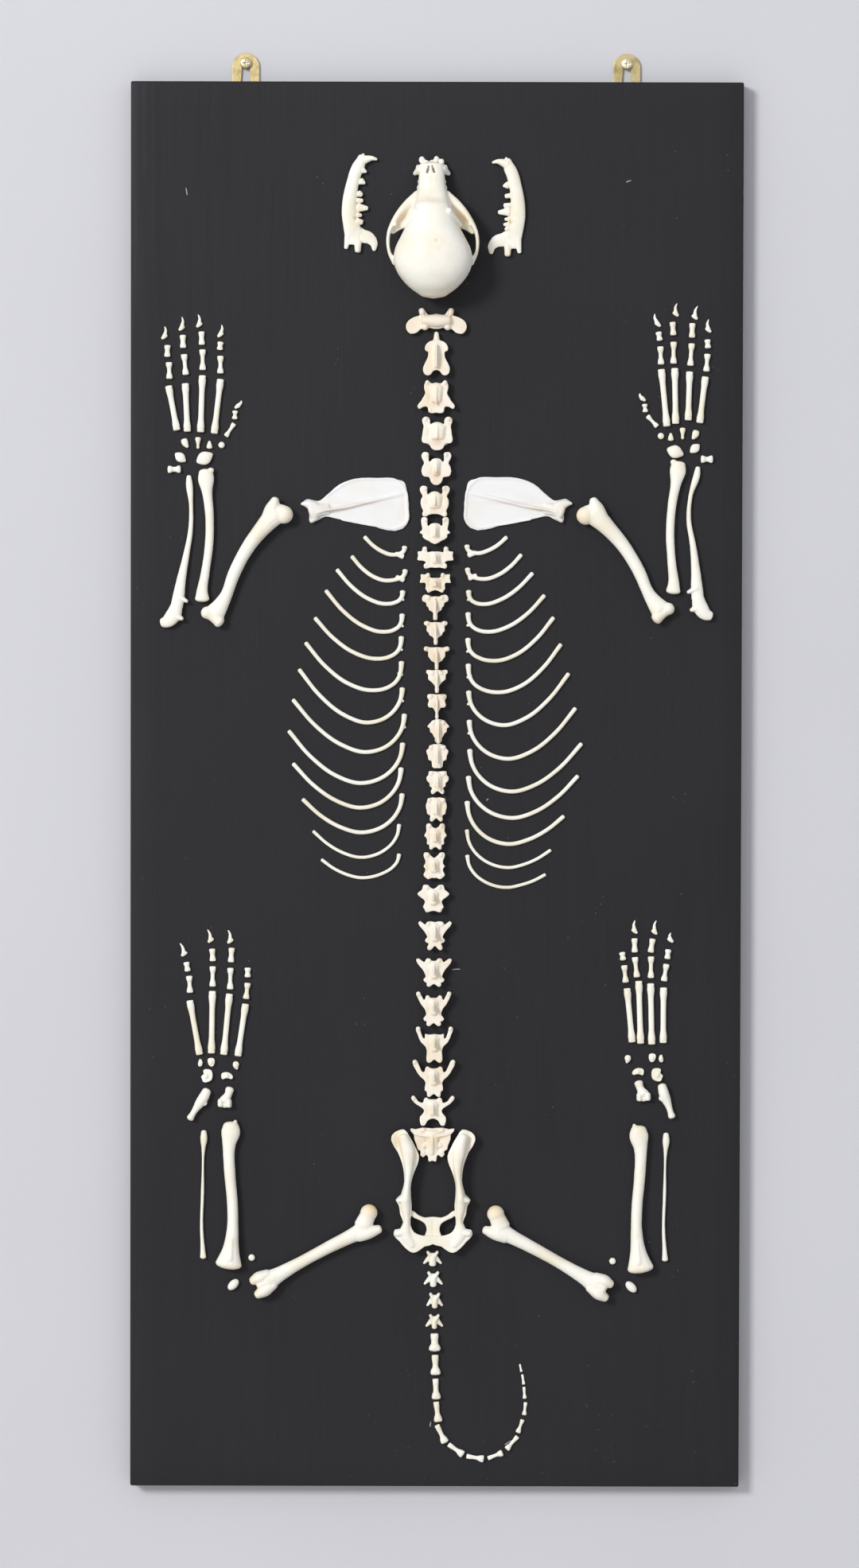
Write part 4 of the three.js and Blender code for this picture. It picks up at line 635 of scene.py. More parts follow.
# Name, place, height, spine's tip and the right half of the outline from the top down
NECK = [
    ("cervical_3", (-0.4, 254.8), 10, (-5, 0.9),
     [(0, 9.1), (3.2, 8.4), (5.8, 10.5), (7.3, 9.1), (7.9, 5.1), (7.1, 2), (8.9, -1.2), (9.8, -3), (12.3, -6.4),
      (11.1, -8.3), (8.4, -6.8), (5.6, -6.9), (5.2, -9.2), (4, -10.8), (0, -10.6)]),
    ("cervical_4", (0.3, 230.8), 10, (-3, 0.9),
     [(0, 7.4), (3, 6.6), (4.5, 5.4), (4.6, 8.4), (5.8, 10.4), (7.6, 10.8), (9.6, 9.6), (9.8, 7.4), (8.9, 5), (9.3, 2),
      (9.7, -1.4), (10, -5.3), (8.6, -6.5), (5.6, -6.6), (3.8, -9.7), (1.6, -11), (0, -11)]),
    ("cervical_5", (-0.2, 207.4), 10, (-2, 0.95),
     [(0, 7.2), (2.6, 6.6), (4.4, 4.6), (5, 5.4), (4.9, 9), (6.2, 11), (8.6, 11), (9.8, 9), (9.2, 6.6), (7.9, 4),
      (9.2, 1.6), (9.2, -3.6), (7.9, -4.8), (4.6, -5.2), (3.7, -8), (1.4, -10.2), (0, -10.4)]),
    ("cervical_6", (-1.2, 186), 10, (-2, 1),
     [(0, 7), (2.6, 6.4), (4.4, 4.4), (5, 5.2), (4.9, 8.6), (6.2, 10.4), (8.6, 10.4), (9.8, 8.6), (9.2, 6.2),
      (7.9, 3.8), (9, 1.6), (8.8, -3), (7.6, -5.4), (6.9, -9.6), (5.6, -9.4), (3.4, -8.2), (0, -7.8)]),
    ("cervical_7", (-1, 167.2), 10.5, (-3, 1.05),
     [(0, 5.1), (3, 4.4), (4.8, 2.2), (5.1, 7.4), (6.2, 8.8), (8.2, 8.8), (9.1, 7), (8.4, 2.4), (8.4, 0.4), (9.9, -0.8),
      (9.6, -1.8), (8.2, -1.9), (8, -4.2), (4, -6.6), (0, -8.7)]),
]
CHEST = [
    ("thoracic_1", (-0.7, 149.5), 10.5, (-2, 1.2),
     [(0, 4.2), (4, 4), (5.2, 3.4), (5.6, 6.6), (6.8, 7.5), (8.4, 6.8), (8.6, 4.4), (11.6, 4.2), (11.2, 1.6),
      (11.8, -1.4), (8.6, -1.7), (6.4, -2.6), (5.6, -3.6), (6.4, -7), (4.8, -6.6), (3, -6.2), (0, -6.4)]),
    ("thoracic_2", (-0.7, 133.4), 10, (-2, 1.2),
     [(0, 3.2), (3.8, 3.6), (4.8, 6.4), (5.6, 5.2), (9.6, 5.6), (9.4, 2.8), (10.2, -0.2), (6.6, 0), (6.2, -2),
      (6.4, -4.4), (4.6, -5.2), (4.4, -6.6), (2.8, -5.8), (1.4, -5.2), (0, -5)]),
    ("thoracic_3", (-0.7, 117.6), 9.5, (-8.2, 1.3),
     [(0, 7), (3.4, 6.8), (4.4, 7.6), (7.4, 7.8), (8.6, 6), (8.2, 3.6), (6, 2.8), (5.6, 0.4), (4.4, -0.4), (4.2, -2),
      (2, -3.2), (1.3, -4), (1.3, -8.4), (0, -8.6)]),
    ("thoracic_4", (-0.4, 101.2), 9.5, (-8, 1.3),
     [(0, 6.6), (3.6, 6.4), (5.4, 7.2), (7.6, 6.6), (7.6, 4.8), (5.8, 3.8), (6, 0.6), (4.6, -0.4), (4.2, -2),
      (1.8, -3.4), (1.2, -4.4), (1.1, -8.2), (0, -8.4)]),
    ("thoracic_5", (0.3, 84.8), 9.5, (-7.8, 1.2),
     [(0, 6.6), (4.6, 6.4), (7, 7), (7.2, 4.8), (5.6, 3.6), (5.6, 0.6), (4.6, -0.8), (3.2, -2.6), (1.2, -3.6),
      (1.1, -8), (0, -8.2)]),
    ("thoracic_6", (0.5, 69.6), 9.5, (-7.8, 1.2),
     [(0, 7), (3, 6.6), (6.8, 6.8), (6.9, 4.6), (5.8, 4), (5.8, 0.8), (4.6, -0.2), (2.8, -1.8), (1.2, -4), (1.1, -8),
      (0, -8.2)]),
    ("thoracic_7", (0.5, 53.4), 9.5, (-8.6, 1.1),
     [(0, 7), (4, 7.4), (6.2, 6.8), (6, 4.4), (5.2, 3.4), (6, 0.4), (5, -1.6), (3.2, -1.4), (1.4, -3.4), (0.9, -5.2),
      (0.8, -9), (0, -9.2)]),
    ("thoracic_8", (1.5, 36.4), 9.5, (-7.6, 1.1),
     [(0, 8), (3.4, 7.2), (5.8, 5), (7.2, 2.8), (5.6, 2), (5.4, -0.6), (4, -1.4), (3, -3.6), (1.2, -5.4), (1, -8),
      (0, -8.2)]),
    ("thoracic_9", (0.9, 20), 9.5, (-6, 1.1),
     [(0, 8), (4.2, 7.4), (5.4, 5.2), (7.1, 4.2), (6.8, 1.6), (6.2, 0.4), (5.8, -2.4), (3.8, -3), (3.4, -6.8),
      (1.6, -7.8), (0, -7.6)]),
    ("thoracic_10", (1.1, 3), 9.5, (-4, 1.1),
     [(0, 7), (4, 7.4), (5.8, 7.2), (6, 4.8), (7.2, 3.6), (6.8, 0.8), (5.2, -0.6), (5.2, -2.6), (3.4, -3.6),
      (4.2, -6.4), (3.2, -7.8), (1.4, -6.6), (0, -5.6)]),
    ("thoracic_11", (0.3, -14.8), 9.5, (-3, 1.1),
     [(0, 7.8), (4.6, 7.6), (6, 5.4), (6.9, 2.4), (6.2, -1), (5.8, -3), (3.8, -3.8), (4.2, -6.6), (3, -8), (1.4, -6.8),
      (0, -5.6)]),
    ("thoracic_12", (-0.2, -32.4), 10, (-3, 1.15),
     [(0, 5.4), (2.2, 6.6), (4, 8.6), (5.8, 8.2), (6, 5), (6, 3), (7.4, 0.6), (6.2, -0.6), (5.4, -2.4), (5.6, -5),
      (4, -5.4), (4, -8), (2.6, -8.6), (1.2, -7.4), (0, -6.8)]),
    ("thoracic_13", (-1, -51.6), 10, (-2, 1.2),
     [(0, 5.2), (2, 6.6), (4.4, 8.8), (6.6, 8.6), (7, 6.4), (5.8, 3.6), (6, 1), (7.1, -0.2), (5.8, -1.8), (6, -3.8),
      (7.1, -6), (5.4, -7.8), (3.8, -8.8), (1.6, -7.8), (0, -8)]),
]
LOINS = [
    ("lumbar_1", (-1.5, -73), 10.5, (0, 1.3),
     [(0, 6.4), (1.6, 7), (4, 9), (6.6, 8.8), (7.4, 5.8), (10.6, 3.2), (8, 0.6), (5.6, -1.4), (5.6, -3), (6.8, -5.6),
      (5.6, -7), (4.4, -9), (2.2, -8.4), (0, -8)]),
    ("lumbar_2", (-0.4, -97.4), 10.5, (0, 1.35),
     [(0, 9), (4.4, 9.4), (5.4, 7.6), (6.6, 7.4), (9.6, 9.7), (11, 8.5), (8, 4.2), (5.6, 0.8), (5, -1), (6.6, -2.8),
      (5.6, -4.4), (4, -4.8), (5, -8.2), (3.8, -9.5), (2, -8.6), (0, -6.4)]),
    ("lumbar_3", (-1, -121.4), 11, (0, 1.35),
     [(0, 7.6), (2, 7.8), (3.2, 9.3), (5, 9), (6.2, 6.6), (9.8, 9.2), (11.6, 8.8), (10.8, 6), (7.6, 2.2), (5.6, -1.6),
      (5.4, -3), (6.9, -4.4), (6, -6.2), (4.6, -6.6), (4.8, -8.4), (3.2, -9.4), (1.4, -8.2), (0, -7.4)]),
    ("lumbar_4", (-1.1, -145), 11, (0, 1.35),
     [(0, 7), (2.4, 7.2), (3.6, 8.8), (5.2, 8.2), (5.8, 4.6), (8.6, 9.6), (10, 11.2), (11.6, 10.2), (10.6, 7.4),
      (8, 2.4), (5.8, -0.4), (5, -4.4), (6.8, -6.6), (6, -8), (4.4, -8.4), (4.9, -10.4), (3.2, -11.6), (1.4, -10.4),
      (0, -9.4)]),
    ("lumbar_5", (-0.6, -168.9), 11, (0, 1.3),
     [(0, 7.2), (4.4, 6.8), (6.2, 7.6), (6.2, 3.8), (7.6, 4.8), (9.4, 10.6), (10.6, 12.2), (12.2, 11.2), (11, 7),
      (8.6, 1.6), (6, -0.8), (5, -3.4), (5.2, -8), (5, -10.6), (3.6, -11.8), (1.8, -10.8), (0, -9.4)]),
    ("lumbar_6", (-0.9, -190.9), 11, (0, 1.25),
     [(0, 6.6), (2.6, 7), (4, 8), (5.6, 7), (6.2, 4), (8, 4.8), (11, 11.6), (12.6, 12.4), (13.9, 10.8), (12.2, 6.4),
      (9, 1.4), (6.4, -0.8), (5.4, -3), (6, -7.6), (4.6, -8.6), (4.4, -11.2), (3.2, -12.2), (1.4, -11), (0, -10)]),
    ("lumbar_7", (-1.5, -211.9), 10.5, (-1, 1.15),
     [(0, 7.4), (2.6, 7.4), (4.2, 8.6), (5.8, 7.6), (6.4, 5), (9.6, 6), (12.8, 9.8), (14.2, 9), (11.2, 4.4), (7.4, 2),
      (5.8, 0.2), (6.2, -1.6), (8.4, -4.2), (8.4, -7.6), (7, -10), (5.2, -9.6), (3.8, -7), (1.8, -5.6), (0, -5.2)]),
]
# Reddish marrow where the back of a neck bone's body shows: its rise and how strong it is
MARROW = {"cervical_3": (-3.4, 0.3), "cervical_4": (-6.2, 0.6), "cervical_5": (-3.6, 0.55), "cervical_6": (-5.4, 0.35)}


def backbone():
    atlas()
    axis()
    for name, place, high, spine, half in [*NECK, *CHEST, *LOINS]:
        rise, strength = MARROW.get(name, (0, 0))
        vertebra(name, place, high, spine, half, [((0, rise, high * 0.6), (3.4, 2.6, 5), strength)])


def sacrum():
    outline = symmetric([(0, 10.4), (7, 10.8), (11, 9.8), (14.4, 10.2), (14, 8.4), (12.2, 6.6), (11.9, 3.4), (10.2, -1),
                         (9.7, -3.4), (7.6, -4.6), (8, -6.8), (5.9, -8.5), (3.8, -6.8), (2.8, -8.6), (2.4, -11.4),
                         (0, -10.8)])
    parts = [plate(outline, 2.2, 3.4, 2), limb([(0, -6, 3.4, 3.6, 3), (0, 7.6, 4.2, 6, 3.9)]),
             limb([(0, -6, 6, 0.8, 1.4), (0, 1, 7.2, 0.9, 1.8), (0, 6, 7.2, 0.8, 1.4)]),
             limb([(-11, 6.8, 5.2, 1, 1.4), (0, 5.2, 6.8, 1, 1.2), (11, 6.8, 5.2, 1, 1.4)]),
             *both_sides([bulb((6, 9.4, 5.4), (2, 1.6, 1.8)), bulb((5.2, -1, 5.2), (1.2, 1.4, 1.2)),
                          bulb((5.8, -5.6, 4.6), (1.6, 2.2, 1.6))])]
    dents = [((side * 4.4, v, 6.4), (1, 1, 2), (0, 0, -1.2)) for side in (-1, 1) for v in (2.4, -3)]
    grow("sacrum_bone", parts, PINKISH, ["sacrum"], (-1.8, -234.1), smooth=2, dents=dents,
         stains_and_shade=[((0, 4, 6), (7, 3, 4), 0.5), ((0, 9, 6), (10, 2, 4), 0.2)],
         blushes_and_shade=[((side * 9, 2, 4), (3, 5, 4), 0.16) for side in (-1, 1)])


def pelvis():
    side_plate = [(22, 40.2), (19, 40.6), (16, 36.8), (11.4, 28.3), (9.3, 23.2), (10.2, 18), (12.3, 13), (14.4, 5.4),
                  (14.8, -1.4), (14, -9), (14.2, -14), (14.8, -22), (12.6, -26.6), (8.1, -28.8), (3, -29.4),
                  (-0.4, -29.4), (-0.4, -34.4), (5.5, -36.1), (10.2, -39.5), (13.1, -40.3), (17.4, -37.8),
                  (22, -32.7), (25.8, -28.5), (25, -25.1), (19.8, -24.2), (19.4, -20.8), (21.6, -14.9), (22.5, -9),
                  (24.6, -5.6), (21.2, -2.2), (19.5, 2), (19.1, 11.4), (20.3, 18.1), (23.3, 25.8), (27.5, 33.4),
                  (27.1, 36.8)]
    floor_plate = [(-0.4, -17), (5.5, -17.5), (9.7, -15.8), (14, -12.8), (14.6, -15.8), (9, -19), (5.2, -21.6),
                   (4.2, -26), (5.4, -29.6), (-0.4, -31)]
    half = [
        plate(side_plate, 5.6, 3, 2), plate(floor_plate, 2.4, 3.8, 2),
        limb([(20.4, 36.4, 10.6, 3.4, 2.6), (17, 27, 10.8, 4.4, 3), (16, 15, 10, 2.8, 3.6), (16.9, 5, 9, 2.3, 4.2),
              (18, -5, 7.4, 3.6, 6.4), (18, -10, 7.4, 3.6, 4.6), (17.2, -19, 7, 2.2, 3.6), (18, -28, 7.4, 4, 3),
              (13.6, -35.6, 7, 3, 2.6)]),
        limb([(20, -27, 8, 2.6, 2.6), (24, -27.6, 9, 1.8, 1.8)]),
        limb([(20, -5, 10, 2.6, 2.6), (23.4, -5.8, 10.4, 1.2, 1.6)]),
        limb([(14.6, -30, 6.4, 2.6, 2.2), (7, -32.6, 5.2, 2.6, 2.2), (0, -32, 4.6, 2.2, 2.2)]),
    ]
    parts = [*both_sides(half), limb([(0, -19, 3.4, 2.6, 2.4), (0, -33, 4, 2.6, 2.2)])]
    dents = [((side * 23.4, 31, 11), (2.6, 8, 5), (0, 0, -1.8)) for side in (-1, 1)]
    dents += [((0, -25, 6), (0.6, 9, 3), (0, 0, -0.6))]
    stains_and_shade = [((-23.4, 32, 10), (3.6, 8, 6), 0.4), ((23.4, 32, 10), (3, 8, 6), 0.2), ((0, -24, 4), (5, 8, 4), 0.16)]
    grow("pelvis_bone", parts, IVORY, ["pelvis"], (-1.2, -264.8), smooth=4, dents=dents, stains_and_shade=stains_and_shade,
         blushes_and_shade=[((22, 28, 10), (3, 7, 6), 0.12)])


# ---- Limbs ----


def scapula():
    outline = [(-2.8, 8.2), (-6.2, 7.6), (-11.9, 11.6), (-19.9, 18.4), (-30, 22.2), (-44.9, 22.8), (-56.3, 22),
               (-62.6, 20), (-64, 16), (-64.4, 11), (-65.6, 6.6), (-65, -1), (-64.8, -6.6), (-61.4, -10.4),
               (-47, -10.4), (-43.8, -9.2), (-30, -6.6), (-17.6, -3.8), (-10.8, -2.6), (-6, -5), (-1.1, -6.8),
               (-0.4, 0), (0, 2.5), (4.6, 5.4), (1.1, 8.8)]
    return [
        plate(outline, GAP, 1.4),
        limb([(-13, 2.4, 2, 3.6, 1.7), (-6, 1.4, 3, 4.2, 2.8), (-2, 0, 3.2, 5.4, 3.2)]),
        limb([(-5, 3.6, 3, 3, 2.4), (-0.6, 5.2, 3, 3, 2.4), (3, 5.8, 3, 1.6, 1.7), (4.6, 5.6, 3, 0.9, 1.2)]),
        limb([(-5, -3.4, 3, 1.6, 2), (-1.8, -5.6, 2.8, 1.4, 1.8)]),
        limb([(-62, 12.6, 1.4, 1.5, 0.7), (-44, 8.4, 2, 1.2, 1.2), (-24, 3.6, 2.8, 1.1, 2), (-8, 0.8, 4, 1.3, 2.2),
              (-4.6, 0, 5, 1.8, 1.4)]),
        limb([(-12, 10.8, 1.5, 0.7, 0.7), (-27, 20.4, 1.5, 0.8, 0.7), (-44, 22, 1.5, 0.8, 0.7),
              (-58, 20.8, 1.5, 0.9, 0.8), (-63.2, 14.6, 1.5, 1, 0.8), (-64.4, 5, 1.5, 1, 0.8),
              (-64, -6, 1.5, 1, 0.8), (-58, -9.8, 1.5, 0.8, 0.8), (-44, -8.6, 1.5, 0.7, 0.7),
              (-22, -4.6, 1.6, 0.7, 0.7)]),
    ]


def humerus():
    return [
        bulb((-4.4, -1.4, 6.4), (6, 6, 5.6)),
        limb([(-4.4, -0.6, 6, 5.7, 5), (-0.6, -3.2, 6.2, 6.8, 5), (2.4, -7.4, 6, 6.4, 5)]),
        limb([(5.6, 4.2, 6, 2.6, 3.6), (4.2, -1, 6.2, 4.8, 5), (3, -8, 6, 5, 5)]),
        limb([(0.4, -3, 6.2, 7.2, 5.4), (2.6, -14, 6, 5.6, 5), (4.6, -30, 5.2, 4.5, 4.5), (3.4, -52, 4.6, 4.1, 4.1),
              (0.6, -66, 4.6, 4, 4), (0.4, -75, 4.8, 5.6, 4.2), (0.8, -80, 5, 6.8, 4.4)]),
        limb([(-4.9, -83, 5, 4, 4.6), (0.4, -82.4, 4.8, 3.4, 4.2), (5.4, -82, 5, 4, 4.6)]),
        bulb((5.4, -82.2, 5), (4, 4.1, 4.7)),
    ]


def radius(bow):
    return [bulb((bow * 1.6, 85.4, 3.4), (2.2, 1.8, 2.4)),
            limb([(0, 84.6, 3.4, 4.6, 3), (0, 80, 3.6, 5.3, 3.2), (bow * 0.3, 72, 3.2, 3.6, 2.9),
                  (bow, 58, 3, 2.9, 2.6), (bow * 0.9, 38, 3, 2.8, 2.6), (bow * -0.5, 18, 3, 2.9, 2.7),
                  (bow * -1.5, 6, 3.4, 3.8, 3), (bow * -1.5, 1.4, 3.6, 4.8, 3.2)])]


def ulna(sway):
    return [
        limb([(0, 100, 2, 1.6, 1.6), (0.2, 96, 2.2, 2.2, 1.9), (0.8 + sway, 82, 2, 1.4, 1.5),
              (0.6 + sway, 66, 2, 1.6, 1.6), (-1.6, 49, 2.4, 2.1, 2), (-5, 32, 3, 3.1, 2.6), (-6.6, 22, 3.4, 3.9, 3),
              (-7.8, 15, 3.4, 4.1, 3)]),
        limb([(-6.4, 21.6, 4, 2.4, 3.2), (-1, 18.4, 4.4, 1.1, 2.6)]),
        limb([(-7.8, 16, 3.6, 3.9, 3.2), (-10, 9.6, 3.8, 5, 3.3), (-14.4, 5.2, 3.6, 4.1, 2.8),
              (-17.4, 4.4, 3.4, 3, 2.2)]),
        limb([(-9.4, 9.4, 4, 3.4, 3), (-4, 7, 4.2, 1.2, 2.4)]),
    ]


def femur():
    return [
        bulb((6.6, 5.2, 5.9), (5.7, 5.7, 5.5)),
        limb([(5.6, 4, 5.8, 5.2, 4.8), (1, -2.4, 5.8, 6, 4.8)]),
        limb([(-6, 6, 5.6, 2.8, 3.8), (-4.6, -1, 5.8, 4.4, 4.8), (-2.6, -8, 5.4, 4.8, 4.6)]),
        limb([(-1.6, -1, 5.6, 6.4, 4.6), (-1.2, -11, 5.2, 4.9, 4.5), (-0.4, -28, 4.8, 4.1, 4.2),
              (0, -56, 4.8, 4.2, 4.2), (0, -68, 5.2, 5.4, 4.6), (0, -75, 5.8, 7, 5)]),
        limb([(4, -72, 5.6, 3, 4.4), (4.6, -79, 6, 4.1, 5.6), (4.8, -83.4, 5.8, 2.8, 4)]),
        limb([(-4, -72, 5.6, 3, 4.4), (-4.4, -80, 6, 4.2, 5.6), (-4.6, -85, 5.8, 2.8, 4)]),
        limb([(0, -70, 6.4, 4, 4), (0, -80.5, 7.4, 3.8, 3.4)]),
    ]


def tibia():
    return [
        limb([(0.6, 95, 4, 5, 3.6), (0.6, 91.5, 4.2, 6.2, 3.8), (-0.6, 82, 4, 4.4, 3.6), (0, 62, 4, 3.7, 3.6),
              (1.6, 44, 4.2, 3.6, 3.8), (1.8, 26, 4.6, 3.9, 4.2), (0.6, 13, 5.4, 5.6, 5), (-0.8, 3.4, 6, 8.8, 5.4)]),
        limb([(3, 94, 4, 2, 2.6), (3.6, 97.6, 4, 1, 1.6)]),
        limb([(1.4, 20, 7.4, 1.6, 2.6), (0.4, 7, 9, 2.4, 3)]),
    ]


def fibula():
    return [limb([(0, 84, 2, 1.8, 1.7), (0, 79.6, 2.2, 2.3, 1.9), (0.3, 73, 1.8, 1.3, 1.5), (0.8, 45, 1.7, 1.1, 1.4),
                  (1.4, 20, 1.7, 1.1, 1.4), (0.6, 6, 1.9, 1.6, 1.6), (0.4, 1.4, 2.1, 2.1, 1.8)])]


def heel():
    return [
        limb([(0.2, 0.2, 3.4, 2.9, 3.2), (0.5, -4.6, 3.8, 3.4, 3.6), (0.3, -9, 3.4, 3.2, 3.1), (0, -14, 3, 2.2, 2.6),
              (0, -18, 3, 2, 2.6), (0, -20.8, 3.2, 2.5, 2.8)]),
        limb([(1, -7, 3.6, 2.3, 2.6), (3.7, -7.6, 3.4, 1.7, 1.9)]),
    ]


def ankle():
    return [
        limb([(3.2, 7.8, 3, 2.9, 2.7), (2.2, 4.4, 3, 2.5, 2.6), (0, 0.6, 3.6, 3.6, 3.3)]),
        limb([(-2.8, 0.6, 3.8, 1.9, 3.5), (-2.8, -2.8, 3.8, 2, 3.5)]),
        limb([(2.7, 0.2, 3.8, 1.9, 3.5), (2.7, -3.2, 3.8, 1.9, 3.5)]),
        limb([(0, 1, 3, 3, 2.7), (0, -3, 3, 2.6, 2.5)]),
    ]


def kneecap():
    return [bulb((0, 0, 2.4), (4.6, 2.8, 2.5))]


# Stains where the ends of long bones are yellower
HUMERUS_STAINS = [((-7.4, 0, 8), (4.6, 5.4, 6), 0.45), ((0, -84, 6), (8, 3, 5), 0.28)]
FEMUR_STAINS = [((8.6, 7.4, 7), (5, 5, 6), 0.85), ((-5, 5, 6), (3, 4, 4), 0.2), ((0, -84, 8), (8, 4, 5), 0.35)]
TIBIA_STAINS = [((0, 2, 8), (9, 4, 5), 0.3), ((0, 95, 5), (5, 3, 4), 0.2)]
SCAPULA_STAINS = [((-16, 2.2, 4), (12, 2, 4), 0.3), ((-3, 0, 5), (4, 5, 4), 0.25), ((-61, 2, 2), (2, 12, 2), 0.12)]
SCAPULA_BLUSHES = [((-34, 6, 3), (20, 1.3, 3), 0.22)]
END_STAINS = [((0, 84, 4), (5, 3, 4), 0.25), ((0, 1, 4), (5, 3, 4), 0.25)]

# How a bone is melted when it isn't as usual
THICK, THIN, ROUND = {"voxel": COARSE}, {"voxel": FINE, "smooth": 3}, {"smooth": 2}
# Name, node, material, melting, stains and blushes of a pair; then parts, mirrored or not, place and turn of each side
LIMB_BONES = [
    ("shoulder", "scapula", COOL, {}, SCAPULA_STAINS, SCAPULA_BLUSHES,
     (scapula(), True, (-83.6, 179), 0), (scapula(), False, (83.6, 179.6), 0)),
    ("upper_arm", "humerus", IVORY, THICK, HUMERUS_STAINS, (),
     (humerus(), True, (-102.6, 181), -31.2), (humerus(), False, (100, 181), 35)),
    ("radius_bone", "radius", IVORY, {}, END_STAINS, (),
     (radius(2), False, (-150, 121), 0.4), (radius(-2), False, (151.6, 127), -4.2)),
    ("ulna_bone", "ulna", IVORY, {}, END_STAINS, (),
     (ulna(0.6), False, (-161.8, 102.4), 0), (ulna(2.2), True, (161.6, 109.2), -5.2)),
    ("thigh", "femur", IVORY, THICK, FEMUR_STAINS, (),
     (femur(), True, (-44.6, -287.4), -60.6), (femur(), False, (41, -288), 59.8)),
    ("shin", "tibia", IVORY, THICK, TIBIA_STAINS, (),
     (tibia(), False, (-134.4, -316.6), 0), (tibia(), True, (134, -318.6), 0)),
    ("fibula_bone", "fibula", IVORY, THIN, (), (),
     (fibula(), True, (-151.6, -310.4), 0), (fibula(), True, (151.4, -311.4), 0)),
    ("kneecap", "patella", IVORY, ROUND, (), (),
     (kneecap(), False, (-132.2, -326.9), 45), (kneecap(), False, (128.8, -327.8), -45)),
    ("heel", "calcaneus", IVORY, {}, (), (),
     (heel(), False, (-149.9, -199.6), -30.6), (heel(), True, (148.8, -195.8), 17.7)),
    ("ankle", "talus", IVORY, {}, (), (),
     (ankle(), False, (-137.8, -206.2), 0), (ankle(), True, (136.4, -201.4), 0)),
]


def limbs():
    for name, node, material, melting, stains_and_shade, blushes_and_shade, *pair in LIMB_BONES:
        for side, (parts, turned_over, place, turn) in zip(SIDES, pair):
            if turned_over:
                parts, side_stains, side_blushes = mirrored(parts), flipped(stains_and_shade), flipped(blushes_and_shade)
            else:
                side_stains, side_blushes = stains_and_shade, blushes_and_shade
            grow(f"{name}_{side}", parts, material, [f"{node}_{side}"], place, turn, stains_and_shade=side_stains,
                 blushes_and_shade=side_blushes, **melting)


# ---- Small bones glued to the board ----


def glued(stations):
    """A small bone that lies on the board, through stations of u, v, half width and height."""
    return limb([(u, v, high * 0.5, half, high * 0.5) for u, v, half, high in stations], sides=12, steps=4)


def spool(first, last, end_half, waist_half, first_share=1.0, last_share=1.0):
    """A bone with two thick, square ends, each with two small lobes, and a waist."""
    first, last = np.array(first, float), np.array(last, float)
    length = np.linalg.norm(last - first)
    course = (last - first) / length
    across = np.array([-course[1], course[0]])
    thick = min(end_half * 0.9 / length, 0.2)
    first_half, last_half = end_half * first_share, end_half * last_share
    rows = [(0, first_half * 0.86, first_half * 1.5), (thick * 0.3, first_half * 0.94, first_half * 1.6),
            (thick + 0.16, waist_half * 1.04, waist_half * 1.85), (0.5, waist_half, waist_half * 1.85),
            (0.84 - thick, waist_half * 1.04, waist_half * 1.85), (1 - thick * 0.3, last_half * 0.94, last_half * 1.6),
            (1, last_half * 0.86, last_half * 1.5)]
    lobes = [bulb((*(end + across * side * half * 0.55), half * 0.75),
                  (half * 0.46, half * 0.46, half * 0.8), 10, 6)
             for end, half in ((first, first_half), (last, last_half)) for side in (-1, 1)]
    return [glued([(*(first + course * length * share), half, high) for share, half, high in rows]), *lobes]


# Stations of a claw from root to tip: share of its length, how far it bows out, half width and height
CLAW = [(0.06, 0, 1.7, 2.6), (0.3, 0.3, 1.25, 2.4), (0.64, 0.6, 0.9, 1.8), (1, -0.2, 0.4, 0.9)]


def toe_parts(points, widths):
    """The bones of a toe, and its claw where it has one, with two cheeks at the claw's root."""
    claw_tip, claw_root, *rest = points
    parts = []
    if claw_tip:
        (u1, v1), (u2, v2) = claw_tip, claw_root
        lean = math.copysign(1, u2)
        parts.append(glued([(u2 + (u1 - u2) * share - lean * bow, v2 + (v1 - v2) * share, half, high)
                            for share, bow, half, high in CLAW]))
        parts.append(glued([(u2 - lean * 1.5, v2 + 1, 0.9, 2), (u2, v2 + 0.2, 1.3, 2.4),
                            (u2 + lean * 1.5, v2 - 0.9, 1, 2)]))
    for index in range(0, len(rest) - 1, 2):
        parts += spool(rest[index], rest[index + 1], *widths[min(index // 2, len(widths) - 1)])
    return parts


PEBBLE_HEIGHT = 3.2


def pebble(place, half):
    """A bead of bone."""
    return bulb((*place, PEBBLE_HEIGHT * 0.5), (half * 1.08, half * 1.08, PEBBLE_HEIGHT * 0.52), 14, 8)


def bean(first, last, first_half, last_half, high):
    """A short bone with rounded ends."""
    course = np.array(last, float) - first
    course /= np.linalg.norm(course)
    (u1, v1), (u2, v2) = first - course * first_half * 0.4, last + course * last_half * 0.4
    return glued([(u1, v1, first_half * 0.55, high * 0.8), (*first, first_half, high), (*last, last_half, high * 0.94),
                  (u2, v2, last_half * 0.55, high * 0.75)])


TOE_WIDTHS = [(2.1, 1.6), (2.2, 1.35), (2.4, 1.85)]
THUMB_WIDTHS = [(1.9, 1.2), (1.7, 1.1)]

